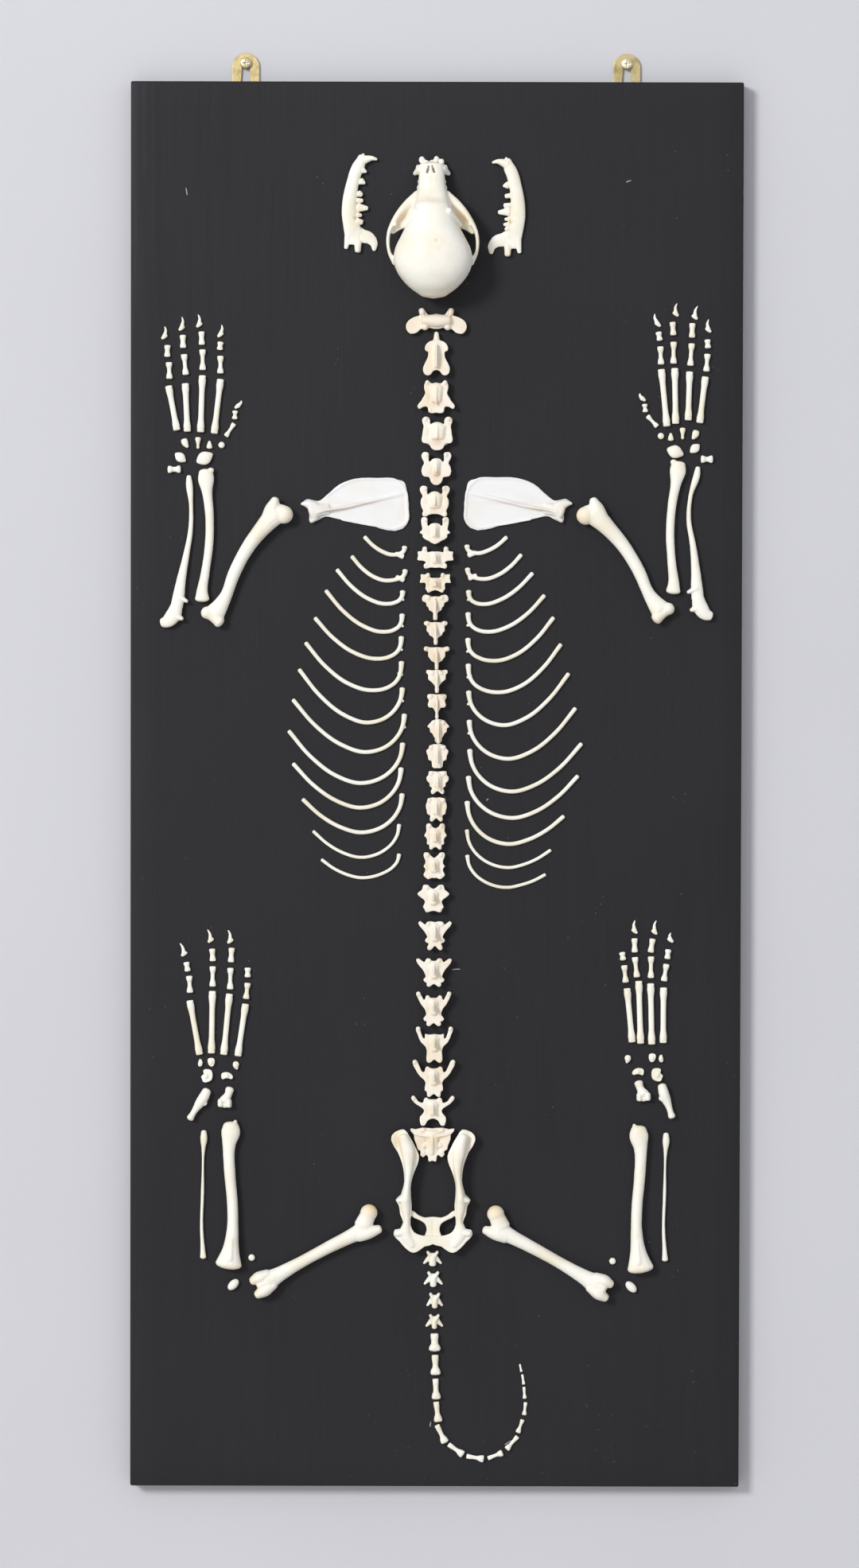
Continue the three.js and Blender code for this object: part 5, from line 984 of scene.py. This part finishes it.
# Toes of the four feet: the claw's tip and root, then both ends of each bone down to the wrist or ankle
FRONT_TOES = {
    "left": [
        [(-177.5, 300.1), (-177.9, 293.3), (-175.9, 287.2), (-176, 281.2), (-174.9, 276), (-174.6, 266.9),
         (-175, 260.6), (-169.8, 233.4)],
        [(-166.3, 306.4), (-166.6, 298.9), (-165.9, 293.8), (-165.7, 287), (-165, 281.2), (-164, 269.5),
         (-164.2, 262.2), (-162.9, 232.6)],
        [(-155.8, 308), (-155.1, 301.1), (-153.7, 296.1), (-153.5, 289.1), (-153, 284.4), (-152.9, 272.7),
         (-153.1, 267.4), (-154.2, 232.2)],
        [(-140.4, 301.4), (-141.3, 294.7), (-141.3, 289.4), (-141.7, 285.8), (-141.3, 280.2), (-141.3, 270.5),
         (-141.3, 265), (-145.2, 231.3)],
    ],
    "right": [
        [(142, 309.1), (144.1, 302.2), (144.7, 296.5), (145.4, 292.5), (145.9, 287), (146.3, 277),
         (146.6, 272.1), (150.2, 236.7)],
        [(156.5, 315.9), (155.8, 308.9), (153.8, 303), (154.3, 296), (154.5, 290), (154.5, 277.6),
         (155.3, 272.8), (156, 238.4)],
        [(169.9, 314.1), (168.2, 306.9), (166.7, 302.2), (166.5, 294.5), (166.3, 289), (165.5, 276.2),
         (165, 270.6), (164.2, 240.7)],
        [(177.2, 305.5), (177.1, 298.5), (176.6, 291.6), (176.9, 287.6), (176.6, 282.2), (176, 272.5),
         (175.2, 267.3), (171.8, 239)],
    ],
}
THUMBS = {
    "left": [(-127.5, 252.1), (-130, 248.2), (-131.7, 244.6), (-131.9, 240.6), (-132.6, 236.5), (-137.4, 229.2)],
    "right": [(132.6, 257.3), (134.4, 253.6), (135.8, 249.6), (136.2, 245.8), (138, 242.2), (143.6, 236.1)],
}
HIND_TOES = {
    "left": [
        [(-167.2, -103), (-164.6, -110), (-163.1, -116), (-162.4, -120.4), (-161.3, -125.1), (-160.8, -134.4),
         (-160.8, -141.2), (-154.6, -175)],
        [(-149.2, -94), (-147.2, -101), (-146.3, -107.2), (-145.9, -113.7), (-145.9, -118.8), (-146, -130.3),
         (-146.1, -135), (-146.7, -174.1)],
        [(-135.7, -94.3), (-134.4, -101.5), (-133.5, -106.6), (-134, -114.4), (-134.3, -119.8), (-134.5, -132.1),
         (-135, -136.8), (-138.6, -175)],
        [None, None, (-123, -119.6), (-123, -124.2), (-123.1, -129.6), (-124, -138.4), (-124.5, -143.4),
         (-129.3, -175.9)],
    ],
    "right": [
        [None, None, (122.3, -108.9), (122.8, -112.4), (123.7, -117.5), (124.6, -127.1), (125.6, -132.6),
         (128.9, -166.2)],
        [(130.5, -87.3), (130.3, -94.4), (130.3, -99.8), (130.5, -107.3), (130.7, -112.1), (131.9, -123.6),
         (133.2, -127.8), (134.5, -167.1)],
        [(144.3, -87.4), (143.3, -95), (142.1, -100), (141, -107.3), (141.2, -111.7), (141.1, -124.1),
         (141, -129.4), (141.8, -167.6)],
        [(154, -95.4), (153.8, -100.2), (152.4, -107), (151.9, -111.6), (151.2, -116.6), (149.8, -126.1),
         (149.4, -132.1), (149.3, -166.6)],
    ],
}
# Wrist bones: the outer row from the outside in, the two of the inner row and the one that sticks out
WRISTS = {
    "left": {
        "row": [(-164.4, 224.3), (-155.9, 224.3), (-148.4, 223.1), (-140.5, 223)],
        "ulnar": ((-169.6, 216.6), (-165, 212.9)),
        "radial": ((-154.9, 212.6), (-147.8, 216.4)),
        "outer": ((-174.6, 207), (-168.2, 207.1)),
    },
    "right": {
        "row": [(168.9, 230.5), (160.6, 231.2), (152.9, 228.9), (146.4, 229.5)],
        "ulnar": ((170.4, 223), (166.6, 219.6)),
        "radial": ((152.4, 220.4), (159.6, 217.8)),
        "outer": ((173.6, 214.4), (179.4, 214.4)),
    },
}
# Ankle bones: their outlines on the left foot, round their own middles, and their heights
ANKLE_SHAPES = [
    ([(-0.6, 2.5), (0.7, 2), (1.4, -0.2), (0.9, -2), (-0.9, -2.5), (-1.6, -1.4), (-1.1, 1.1)], 3),
    ([(-2.1, 2.3), (1.9, 2.5), (2.4, 0.5), (0.7, -2.8), (-0.9, -2.3), (-2.2, 0.1)], 3.2),
    ([(-1.6, 2.2), (1, 2.6), (2, 1.3), (1.6, -1), (1, -2.7), (-0.3, -2.1), (-1.9, -0.2)], 3.2),
    ([(-2.1, 3.8), (3.2, 3.9), (3.4, -2.6), (-2.2, -3.8), (-2.9, -1.8), (-3.4, -0.3), (-1.8, 1.2)], 4),
    ([(-3.6, 1.5), (-0.8, 2.4), (2.3, 1.5), (3.9, -1.2), (3.5, -2), (-0.1, -1.5), (-3.2, -2.3)], 3.6),
]
ANKLE_PLACES = {
    "left": [(-153.9, -181.2), (-146.9, -181), (-130.7, -183), (-150, -189.9), (-136.4, -189.7)],
    "right": [(147.9, -177.7), (142.2, -177.4), (126.2, -178.3), (145.8, -188.6), (132.9, -186.4)],
}
KNEE_BEADS = {"left": (-120.2, -309.2), "right": (116.6, -311)}


def paws():
    for side, inward in zip(SIDES, (1, -1)):
        parts = [part for points in FRONT_TOES[side] for part in toe_parts(points, TOE_WIDTHS)]
        parts += toe_parts(THUMBS[side], THUMB_WIDTHS)
        wrist = WRISTS[side]
        (u1, v1), (u2, v2), (u3, v3), last = wrist["row"]
        parts.append(glued([(u1 - inward * 0.6, v1 + 2, 2.2, 3), (u1, v1, 2.3, 3.2),
                            (u1 + inward * 1.6, v1 - 2.6, 1, 2.6)]))
        parts.append(glued([(u2, v2 + 3, 2, 3), (u2, v2 + 1.8, 1.8, 3), (u2, v2 - 0.6, 1.1, 2.8),
                            (u2, v2 - 3.2, 1.1, 2.6)]))
        parts.append(glued([(u3, v3 + 2.2, 0.8, 2.6), (u3, v3 - 0.4, 1.8, 3), (u3, v3 - 1.8, 2, 2.8)]))
        parts.append(pebble(last, 2))
        parts += [bean(*wrist["ulnar"], 2, 1.7, 3), bean(*wrist["radial"], 2.9, 2.3, 3.6)]
        parts += spool(*wrist["outer"], 2.5, 1.7)
        grow_glued(f"front_paw_{side}", parts)
        parts = [part for points in HIND_TOES[side] for part in toe_parts(points, TOE_WIDTHS)]
        for (u, v), (outline, high) in zip(ANKLE_PLACES[side], ANKLE_SHAPES):
            placed = [(u + inward * du, v + dv) for du, dv in outline]
            parts.append(plate(placed if inward > 0 else placed[::-1], 0, high * 0.8))
            parts.append(bulb((u, v, high * 0.62), (1.6, 1.8, high * 0.5)))
        parts.append(pebble(KNEE_BEADS[side], 2.1))
        grow_glued(f"hind_paw_{side}", parts)


# Tail bones down the middle and round the hook: place, length, half width, half waist, half wing
TAIL = [
    ((-1.5, -309.6), 9.4, 4.2, 3.6, 5.9), ((-1, -323.2), 9.4, 4, 3.3, 6), ((0, -337.3), 9.4, 3.6, 2.9, 5.1),
    ((-0.2, -351.1), 8.9, 3.4, 2.7, 5.5), ((0, -364.2), 10.8, 3.6, 2.3, 0), ((0.5, -379.2), 12.5, 3.1, 1.9, 0),
    ((0.9, -395.1), 13, 2.8, 1.7, 0), ((1.8, -410.2), 12.8, 2.6, 1.6, 0), ((4.3, -424.8), 12.5, 2.5, 1.5, 0),
    ((13.9, -435.2), 11.5, 2.3, 1.4, 0), ((26.6, -440.6), 11.2, 2.2, 1.3, 0), ((39.8, -439.3), 10.2, 2, 1.2, 0),
    ((51.1, -430.8), 10.9, 1.9, 1.1, 0), ((56.4, -419.8), 9, 1.7, 1, 0), ((59.4, -408.3), 8.3, 1.5, 0.95, 0),
    ((59, -397.8), 7.6, 1.3, 0.9, 0), ((58.1, -389.1), 6.6, 1.1, 0.85, 0), ((56.5, -381.6), 5.1, 0.9, 0.7, 0),
]


# How much wider or slimmer the first and last end of a tail bone are, down to the hook and after its turn upward
DOWNWARD_SHARES, UPWARD_SHARES = (0.76, 1.1), (1.06, 0.84)
FIRST_UPWARD = 12


def tail():
    parts = []
    for index, ((u, v), long, end_half, waist_half, wing) in enumerate(TAIL):
        before, after = TAIL[max(index - 1, 0)][0], TAIL[min(index + 1, len(TAIL) - 1)][0]
        course = np.array([after[0] - before[0], after[1] - before[1]], float)
        course /= np.linalg.norm(course)
        reach = (long / 2 - end_half * 0.3) * course
        if wing:
            parts.append(glued([(u, v + long * 0.3, waist_half * 0.72, 3.6), (u, v, waist_half * 0.66, 4.4),
                                (u, v - long * 0.42, waist_half * 0.66, 3.8)]))
            for side in (-1, 1):
                parts.append(glued([(u + side * 1.2, v + 1.4, 2, 2.8),
                                    (u + side * wing * 0.6, v - long * 0.1, 1.4, 2.2),
                                    (u + side * wing * 0.96, v - long * 0.34, 0.8, 1.6)]))
                parts.append(glued([(u + side * 0.8, v + long * 0.12, 1.5, 4),
                                    (u + side * end_half * 0.8, v + long * 0.5, 1, 4.2)]))
        else:
            shares = DOWNWARD_SHARES if index < FIRST_UPWARD else UPWARD_SHARES
            parts += spool((u - reach[0], v - reach[1]), (u + reach[0], v + reach[1]), end_half, waist_half, *shares)
    grow_glued("tail_bones", parts)


# For each rib, where its head lies, how far out, up and down it reaches, and where it is lowest
RIBS = {
    "left": {
        "heads": [(-20.8, 156.5), (-20.4, 141.3), (-22, 127.5), (-22.3, 112.3), (-22.8, 97.6), (-22.7, 81.3),
                  (-22.1, 64.1), (-20.7, 46.9), (-21.8, 28), (-22.8, 11.7), (-22.1, -5.2), (-24, -25.1), (-24, -44.5)],
        "reaches": [26, 34.7, 42.8, 49.7, 56.3, 62.5, 67.3, 72.7, 74.3, 70.4, 64.8, 56.1, 50.5],
        "rises": [6.6, 9, 14.1, 15.6, 12.4, 12.5, 12.2, 9.6, 8.1, 3, -3.4, -4.3, -3.5],
        "sags": [4.2, 5.8, 7.3, 10.4, 13.3, 17.6, 21.6, 23.7, 25.1, 24.9, 24.2, 20.6, 14.5],
        "lows": [8.6, 13.7, 12.2, 13.5, 17.7, 20.9, 22.9, 25.2, 27.7, 26.8, 27, 25.7, 25.7],
    },
    "right": {
        "heads": [(20, 157.4), (20.4, 142.4), (21.1, 127.8), (20.8, 113.3), (20.7, 96.5), (21, 79.7), (21.3, 62.1),
                  (21.7, 43), (22.1, 23.9), (21.3, 6.3), (20.5, -10.1), (20.4, -28.6), (20.7, -45.2)],
        "reaches": [25.7, 34.9, 41.6, 49.7, 55.8, 60.4, 65.2, 69.3, 72.9, 71.4, 63, 54.6, 50.9],
        "rises": [5.7, 9.2, 11.8, 11.8, 14.1, 13.4, 11.9, 8.4, 4.3, 0.8, -9.2, -12.8, -12.2],
        "sags": [4, 5.8, 7.7, 11.2, 13.3, 17.1, 21.1, 24, 26.3, 26, 26.7, 23.6, 20],
        "lows": [7.9, 12.1, 10.8, 14.8, 19.5, 22.3, 23.5, 25.9, 27.8, 29.1, 27.8, 27.8, 26.7],
    },
}
RIB_HEAD_HALF, RIB_WAIST_HALF, RIB_END_HALF = 1.9, 1.3, 1.45
# How many ribs, from the first, drop sharply, have a second prong at the head, and are of full width
SHARP_RIBS, FORKED_RIBS, FULL_RIBS = 6, 8, 11
SLIM_SHARE = 0.8


def rib_curve(reach, rise, sag, low, bend):
    """The rib drops from its head to its lowest point and then climbs to its tip."""
    points = [(low * part, -(sag + 0.6) * (1 - (1 - part) ** bend) ** (1 / bend))
              for part in (0, 0.04, 0.15, 0.45, 1)]
    points += [(low + (reach - low) * part, -sag + (sag + rise) * part**1.9) for part in (0.35, 0.7, 1)]
    rows = splined(np.pad(np.array(points), ((0, 0), (0, 1))), 8)[:, :2]
    length = np.concatenate([[0], np.cumsum(np.linalg.norm(np.diff(rows, axis=0), axis=1))])
    even = np.linspace(0, length[-1], 25)
    return np.column_stack([np.interp(even, length, rows[:, 0]), np.interp(even, length, rows[:, 1])])


def rib_cage():
    for (side, ribs), outward in zip(RIBS.items(), (-1, 1)):
        parts = []
        for index, (u, v) in enumerate(ribs["heads"]):
            sizes = [ribs[key][index] for key in ("reaches", "rises", "sags", "lows")]
            curve = rib_curve(*sizes, 2.6 if index < SHARP_RIBS else 2)
            slim = 1 if index < FULL_RIBS else SLIM_SHARE
            stations = []
            for step, (du, dv) in enumerate(curve):
                part = step / (len(curve) - 1)
                head = math.exp(-((part / 0.035) ** 2))
                tip = math.exp(-(((1 - part) / 0.08) ** 2))
                neck = math.exp(-((part / 0.12) ** 2)) * 0.22
                half = (RIB_WAIST_HALF + 0.1 * math.sin(math.pi * part) + neck
                        + (RIB_HEAD_HALF - RIB_WAIST_HALF - 0.22) * head
                        + (RIB_END_HALF - RIB_WAIST_HALF) * tip) * slim
                stations.append((u + outward * du, v + dv, half, half * 1.9))
            parts.append(glued(stations))
            if index < 2:
                parts.append(glued([(u + outward * 5.6, v - 4.2, 1.5, 2.4), (u + outward * 1, v - 6, 1.8, 2.4)]))
            elif index < FORKED_RIBS:
                drop = min(sizes[2] * 0.66, 7.6)
                parts.append(glued([(u + outward * 1.8, v - drop + 0.8, 1.4, 2.4),
                                    (u - outward * 0.7, v - drop - 0.6, 0.8, 1.8)]))
        grow_glued(f"ribs_{side}", parts, rough=0.03)


# ---- Board, hanging plates and screws ----

# Place, length and turn of each
MARKS = [((-163.6, 388.2), 4.5, 100), ((124.9, 395.4), 3.2, 20), ((13.4, -119.7), 5.2, 4), ((-2.6, -419), 3, 80),
         ((33.8, -8.4), 1.4, 40), ((49, -430.8), 6, 30)]


def board():
    """A slab with a grid of faces on its front and back."""
    half_width, half_height = BOARD_WIDTH / 2, BOARD_HEIGHT / 2
    columns, rows = BOARD_COLUMNS, BOARD_ROWS
    us, vs = np.linspace(-half_width, half_width, columns), np.linspace(-half_height, half_height, rows)
    grid = np.array([(u, v) for v in vs for u in us])
    count = len(grid)
    front = np.column_stack([grid, np.zeros(count)])
    back = np.column_stack([grid, np.full(count, -BOARD_THICKNESS)])
    faces = []
    for row in range(rows - 1):
        for column in range(columns - 1):
            a = row * columns + column
            faces.append((a, a + 1, a + columns + 1, a + columns))
            faces.append((count + a, count + a + columns, count + a + columns + 1, count + a + 1))
    rim = [*range(columns), *(row * columns + columns - 1 for row in range(1, rows)),
           *(rows * columns - 1 - step for step in range(1, columns)),
           *(row * columns for row in range(rows - 2, 0, -1))]
    for a, b in zip(rim, [*rim[1:], rim[0]]):
        faces.append((b, a, count + a, count + b))
    mesh = mesh_of([(set_on_board(np.concatenate([front, back])), faces)], "board")
    mesh = evaluated(mesh, [("BEVEL", {"width": BOARD_ROUNDING * MM, "segments": 4, "limit_method": "ANGLE"})])
    turn_outward(mesh)
    piece = add_piece("board_panel", mesh, PAINT, "board", "board")
    piece.data.set_sharp_from_angle(angle=WOOD_SHARP)


def marks():
    """Small chips and smears where the paint is scratched or glue has dried."""
    parts = []
    for (u, v), long, turn in MARKS:
        c, s = math.cos(math.radians(turn)), math.sin(math.radians(turn))
        parts.append(limb([(u - c * long / 2, v - s * long / 2, 0.0, 0.28, 0.12), (u, v + 0.15, 0.0, 0.34, 0.14),
                           (u + c * long / 2, v + s * long / 2, 0.0, 0.2, 0.1)], sides=8))
    mesh = mesh_of([(set_on_board(points), faces) for points, faces in parts], "marks")
    turn_outward(mesh)
    scratched = plain_material("scratched_paint", (0.42, 0.41, 0.40), 0.7, 0.9, 200)
    add_piece("board_marks", mesh, scratched, "board", "board")


PLATE_EDGE_ROUNDING = 0.2
PLATE_TOP_RADIUS, PLATE_TOP_RISE = 8.8, -2.2
PLATE_FLARE_DROP, PLATE_FLARE = 12, 2.4
PLATE_SHOULDER_DROP = 24
PLATE_FOOT_HALF, PLATE_FOOT_DROP, PLATE_FOOT_ROUNDING = 17, 38, 2
SLOT_HALF_TOP, SLOT_HALF_LOW, SLOT_DROP = 2.2, 3.6, 19
KEYHOLE_RADIUS = 5
SCREW_HEAD_RADIUS, SCREW_HEAD_HEIGHT, SCREW_SHANK_RADIUS = 3.9, 2.4, 1.7
# Half width, reach and depth of the cross in a screw's head
SCREW_CROSS, FIXING_CROSS = (0.5, 2.2, 1.1), (0.22, 1.2, 0.6)
# Countersunk screws that hold a plate: their places on it, the holes and the profile of radius and depth
FIXING_OFFSETS, FIXING_DROP, FIXING_HOLE_RADIUS = (-11.5, 11.5), 31, 2.3
FIXING_SUNK = 0.15
SCREW_EDGE = 0.08
FIXING_PROFILE = [(0.3, FIXING_SUNK), (1, FIXING_SUNK), (2.1, FIXING_SUNK), (2.1, 0.3), (1.0, 1.3), (0.4, 1.35)]


def arc(middle, radius, start, stop, steps):
    return [(middle[0] + radius * math.cos(angle), middle[1] + radius * math.sin(angle))
            for angle in np.linspace(start, stop, steps)]


def hanger_plate():
    """The plate's outline and its keyhole, as a filled curve with softly rounded edges."""
    flare = PLATE_TOP_RISE - PLATE_FLARE_DROP
    shoulder = PLATE_TOP_RADIUS + PLATE_FLARE
    foot_u, foot_v = PLATE_FOOT_HALF - PLATE_FOOT_ROUNDING, -PLATE_FOOT_DROP + PLATE_FOOT_ROUNDING
    outline = arc((0, PLATE_TOP_RISE), PLATE_TOP_RADIUS, 0, math.pi, 33)
    outline += [(-PLATE_TOP_RADIUS, flare + 3), (-PLATE_TOP_RADIUS - 0.6, flare), (-shoulder, flare - 2)]
    outline += [(-PLATE_FOOT_HALF, -PLATE_SHOULDER_DROP),
                *arc((-foot_u, foot_v), PLATE_FOOT_ROUNDING, math.pi, 1.5 * math.pi, 6)]
    outline += [*arc((foot_u, foot_v), PLATE_FOOT_ROUNDING, 1.5 * math.pi, 2 * math.pi, 6),
                (PLATE_FOOT_HALF, -PLATE_SHOULDER_DROP)]
    outline += [(shoulder, flare - 2), (PLATE_TOP_RADIUS + 0.6, flare), (PLATE_TOP_RADIUS, flare + 3)]
    lean = math.asin(SLOT_HALF_LOW / KEYHOLE_RADIUS)
    hole = arc((0, 0), SLOT_HALF_TOP, 0, math.pi, 17)
    hole += arc((0, -SLOT_DROP), KEYHOLE_RADIUS, math.pi / 2 + lean, 2.5 * math.pi - lean, 33)
    fixings = [arc((offset, -FIXING_DROP), FIXING_HOLE_RADIUS, 0, 2 * math.pi, 25)[:-1] for offset in FIXING_OFFSETS]
    curve = bpy.data.curves.new("plate", "CURVE")
    curve.dimensions = "2D"
    curve.fill_mode = "BOTH"
    curve.extrude = PLATE_THICKNESS / 2 - PLATE_EDGE_ROUNDING
    curve.bevel_depth = PLATE_EDGE_ROUNDING
    curve.bevel_resolution = 2
    curve.offset = -PLATE_EDGE_ROUNDING
    for loop in (outline, hole, *fixings):
        line = curve.splines.new("POLY")
        line.points.add(len(loop) - 1)
        line.points.foreach_set("co", np.array([(u, v, 0, 1) for u, v in loop], float).ravel())
        line.use_cyclic_u = True
    holder = linked("plate", curve)
    mesh = bpy.data.meshes.new_from_object(holder.evaluated_get(bpy.context.evaluated_depsgraph_get()))
    bpy.data.objects.remove(holder)
    return mesh


def turned(profile, sides=32):
    """A body of revolution along h from its profile of radius and height, closed at both ends."""
    turns = np.linspace(0, 2 * math.pi, sides, endpoint=False)
    rings = [np.column_stack([r * np.cos(turns), r * np.sin(turns), np.full(sides, h)]) for r, h in profile]
    return skin(rings, (0, 0, profile[0][1]), (0, 0, profile[-1][1]))


def box_part(half_u, half_v, low, high):
    corners = np.array([(u, v, h) for h in (low, high) for v in (-half_v, half_v) for u in (-half_u, half_u)], float)
    return corners, [(0, 2, 3, 1), (4, 5, 7, 6), (0, 1, 5, 4), (2, 6, 7, 3), (0, 4, 6, 2), (1, 3, 7, 5)]


def screw_mesh(profile, top, cross_half, cross_reach, cross_depth):
    """A screw turned from its profile, with a cross recess cut into its head."""
    cross = [box_part(cross_half, cross_reach, top - cross_depth, top + 1),
             box_part(cross_reach, cross_half, top - cross_depth + 0.01, top + 0.99)]
    cutter = linked("cross", mesh_of(cross, "cross"))
    mesh = evaluated(mesh_of([turned(profile)], "screw"), [
        ("BOOLEAN", {"operation": "DIFFERENCE", "solver": "EXACT", "object": cutter, "use_self": True}),
        ("BEVEL", {"width": SCREW_EDGE, "segments": 2, "limit_method": "ANGLE", "angle_limit": math.radians(40)})])
    bpy.data.objects.remove(cutter)
    return mesh


def put_on_wall(name, mesh, place, material, slot, node, outward=1):
    """A mesh drawn with h out of the wall's plane, set at its place on the wall."""
    points = coordinates(mesh)
    world = np.column_stack([points[:, 0] + place[0], -points[:, 2] * outward - place[2], points[:, 1] + place[1]]) * MM
    set_points(mesh, world)
    piece = add_piece(name, mesh, material, slot, node)
    piece.data.set_sharp_from_angle(angle=BRASS_SHARP)


def hangers():
    brass = brass_material("worn_brass", (0.62, 0.50, 0.26), (0.40, 0.32, 0.14), 0.32, 0.48)
    pale = brass_material("pale_brass", (0.82, 0.75, 0.52), (0.64, 0.55, 0.33), 0.36, 0.5)
    base, top = BOARD_BACK, BOARD_BACK + SCREW_HEAD_HEIGHT
    dome = [(SCREW_HEAD_RADIUS * math.sin(angle), base + SCREW_HEAD_HEIGHT * (0.42 + 0.58 * math.cos(angle)))
            for angle in np.linspace(math.pi / 2, 0.12, 7)]
    profile = [(0.4, 0), (SCREW_SHANK_RADIUS, 0), (SCREW_SHANK_RADIUS, base), (SCREW_HEAD_RADIUS - 0.3, base),
               (SCREW_HEAD_RADIUS, base + 0.3), *dome]
    for side, place in HANG_PLACES.items():
        put_on_wall(f"plate_{side}", hanger_plate(), (place, 0, PLATE_THICKNESS / 2), brass, "brass", f"hanger_{side}")
        screw = screw_mesh(profile, top, *SCREW_CROSS)
        put_on_wall(f"screw_{side}", screw, (place, 0, 0), pale, "screw", f"wall_screw_{side}")
        for index, offset in enumerate(FIXING_OFFSETS):
            fixing = screw_mesh([(r, -depth) for r, depth in FIXING_PROFILE], -FIXING_SUNK, *FIXING_CROSS)
            put_on_wall(f"fixing_{side}_{index}", fixing, (place + offset, -FIXING_DROP, 0), pale, "screw",
                        f"hanger_{side}", -1)


# ---- Room, light and camera ----

CAMERA_DISTANCE = 3.2
CAMERA_RISE = 0.088
CAMERA_ROLL = math.radians(0.13)
FRAME_HEIGHT = 1.026
AIM_SHIFT = (-0.0042, 0.0018)
SENSOR = 36
CLIP_END = 60
WALL_Y, WALL_REACH, WALL_TOP = 0.0003, 2.4, 1.6
FLOOR_Z, FLOOR_REACH, FLOOR_FRONT, FLOOR_BACK = -1.75, 4, -5, 4
SKY_COLOUR, SKY_STRENGTH = (0.93, 0.95, 1.0, 1), 0.72
# Place and size in metres, and power in watts
LIGHTS = {"key": ((-3, -4.6, 1.45), 1.3, 203), "back": ((1.2, 2.6, 0.6), 1.6, 30)}
LIGHT_TARGET = (0, 0, -0.47)


def room():
    """A floor, and a wall that is clear from behind and casts no shadow."""
    paint = Paint("pale_wall")
    tone = paint.mix(paint.ramp(paint.noise(2.2, 3), 0.3, 0.7), (0.585, 0.582, 0.61), (0.56, 0.557, 0.585))
    paint.set(Base_Color=tone, Roughness=0.85, Normal=paint.bump(paint.noise(260, 5, 0.6), 0.0005, 0.25))
    clear = paint.node("ShaderNodeBsdfTransparent").outputs["BSDF"]
    behind = paint.node("ShaderNodeNewGeometry").outputs["Backfacing"]
    shadow = paint.node("ShaderNodeLightPath").outputs["Is Shadow Ray"]
    mixer = paint.node("ShaderNodeMixShader")
    paint.put(mixer.inputs[0], paint.math("MAXIMUM", behind, shadow))
    paint.put(mixer.inputs[1], paint.shader.outputs["BSDF"])
    paint.put(mixer.inputs[2], clear)
    paint.put(paint.tree.nodes["Material Output"].inputs["Surface"], mixer.outputs["Shader"])
    wall = [(-WALL_REACH, WALL_Y, FLOOR_Z), (WALL_REACH, WALL_Y, FLOOR_Z), (WALL_REACH, WALL_Y, WALL_TOP),
            (-WALL_REACH, WALL_Y, WALL_TOP)]
    floor = [(-FLOOR_REACH, FLOOR_FRONT, FLOOR_Z), (FLOOR_REACH, FLOOR_FRONT, FLOOR_Z),
             (FLOOR_REACH, FLOOR_BACK, FLOOR_Z), (-FLOOR_REACH, FLOOR_BACK, FLOOR_Z)]
    boards = plain_material("pale_floor", (0.6, 0.59, 0.57), 0.6, 0.75, 6)
    for name, corners, material in (("wall", wall, paint.material), ("floor", floor, boards)):
        mesh = bpy.data.meshes.new(name)
        mesh.from_pydata(corners, [], [(0, 1, 2, 3)])
        mesh.materials.append(material)
        thing = linked(name, mesh)


def aim(thing, target):
    direction = np.array(target) - np.array(thing.location)
    thing.rotation_mode = "QUATERNION"
    thing.rotation_quaternion = Vector(direction).to_track_quat("-Z", "Y")


def lights():
    world = bpy.data.worlds.new("pale_room")
    bpy.context.scene.world = world
    world.use_nodes = True
    background = world.node_tree.nodes["Background"]
    background.inputs["Color"].default_value = SKY_COLOUR
    background.inputs["Strength"].default_value = SKY_STRENGTH
    for name, (place, size, power) in LIGHTS.items():
        light = bpy.data.lights.new(name, "AREA")
        light.size = size
        light.energy = power
        lamp = linked(name, light)
        lamp.location = place
        aim(lamp, LIGHT_TARGET)


def camera():
    data = bpy.data.cameras.new("camera")
    data.sensor_width = SENSOR
    data.lens = SENSOR * CAMERA_DISTANCE / FRAME_HEIGHT
    data.clip_end = CLIP_END
    made = linked("camera", data)
    face = -BOARD_FACE * MM
    target = Vector((AIM_SHIFT[0], face, -HANG_RISE * MM + AIM_SHIFT[1]))
    made.location = target + Vector((0, -CAMERA_DISTANCE, CAMERA_RISE))
    made.rotation_mode = "QUATERNION"
    turn = (target - made.location).to_track_quat("-Z", "Y")
    made.rotation_quaternion = turn @ Euler((0, 0, CAMERA_ROLL)).to_quaternion()
    bpy.context.scene.camera = made


bpy.context.scene.view_settings.view_transform = "Standard"
room()
lights()
camera()
board()
marks()
hangers()
skull()
lower_jaws()
backbone()
sacrum()
pelvis()
limbs()
paws()
tail()
rib_cage()
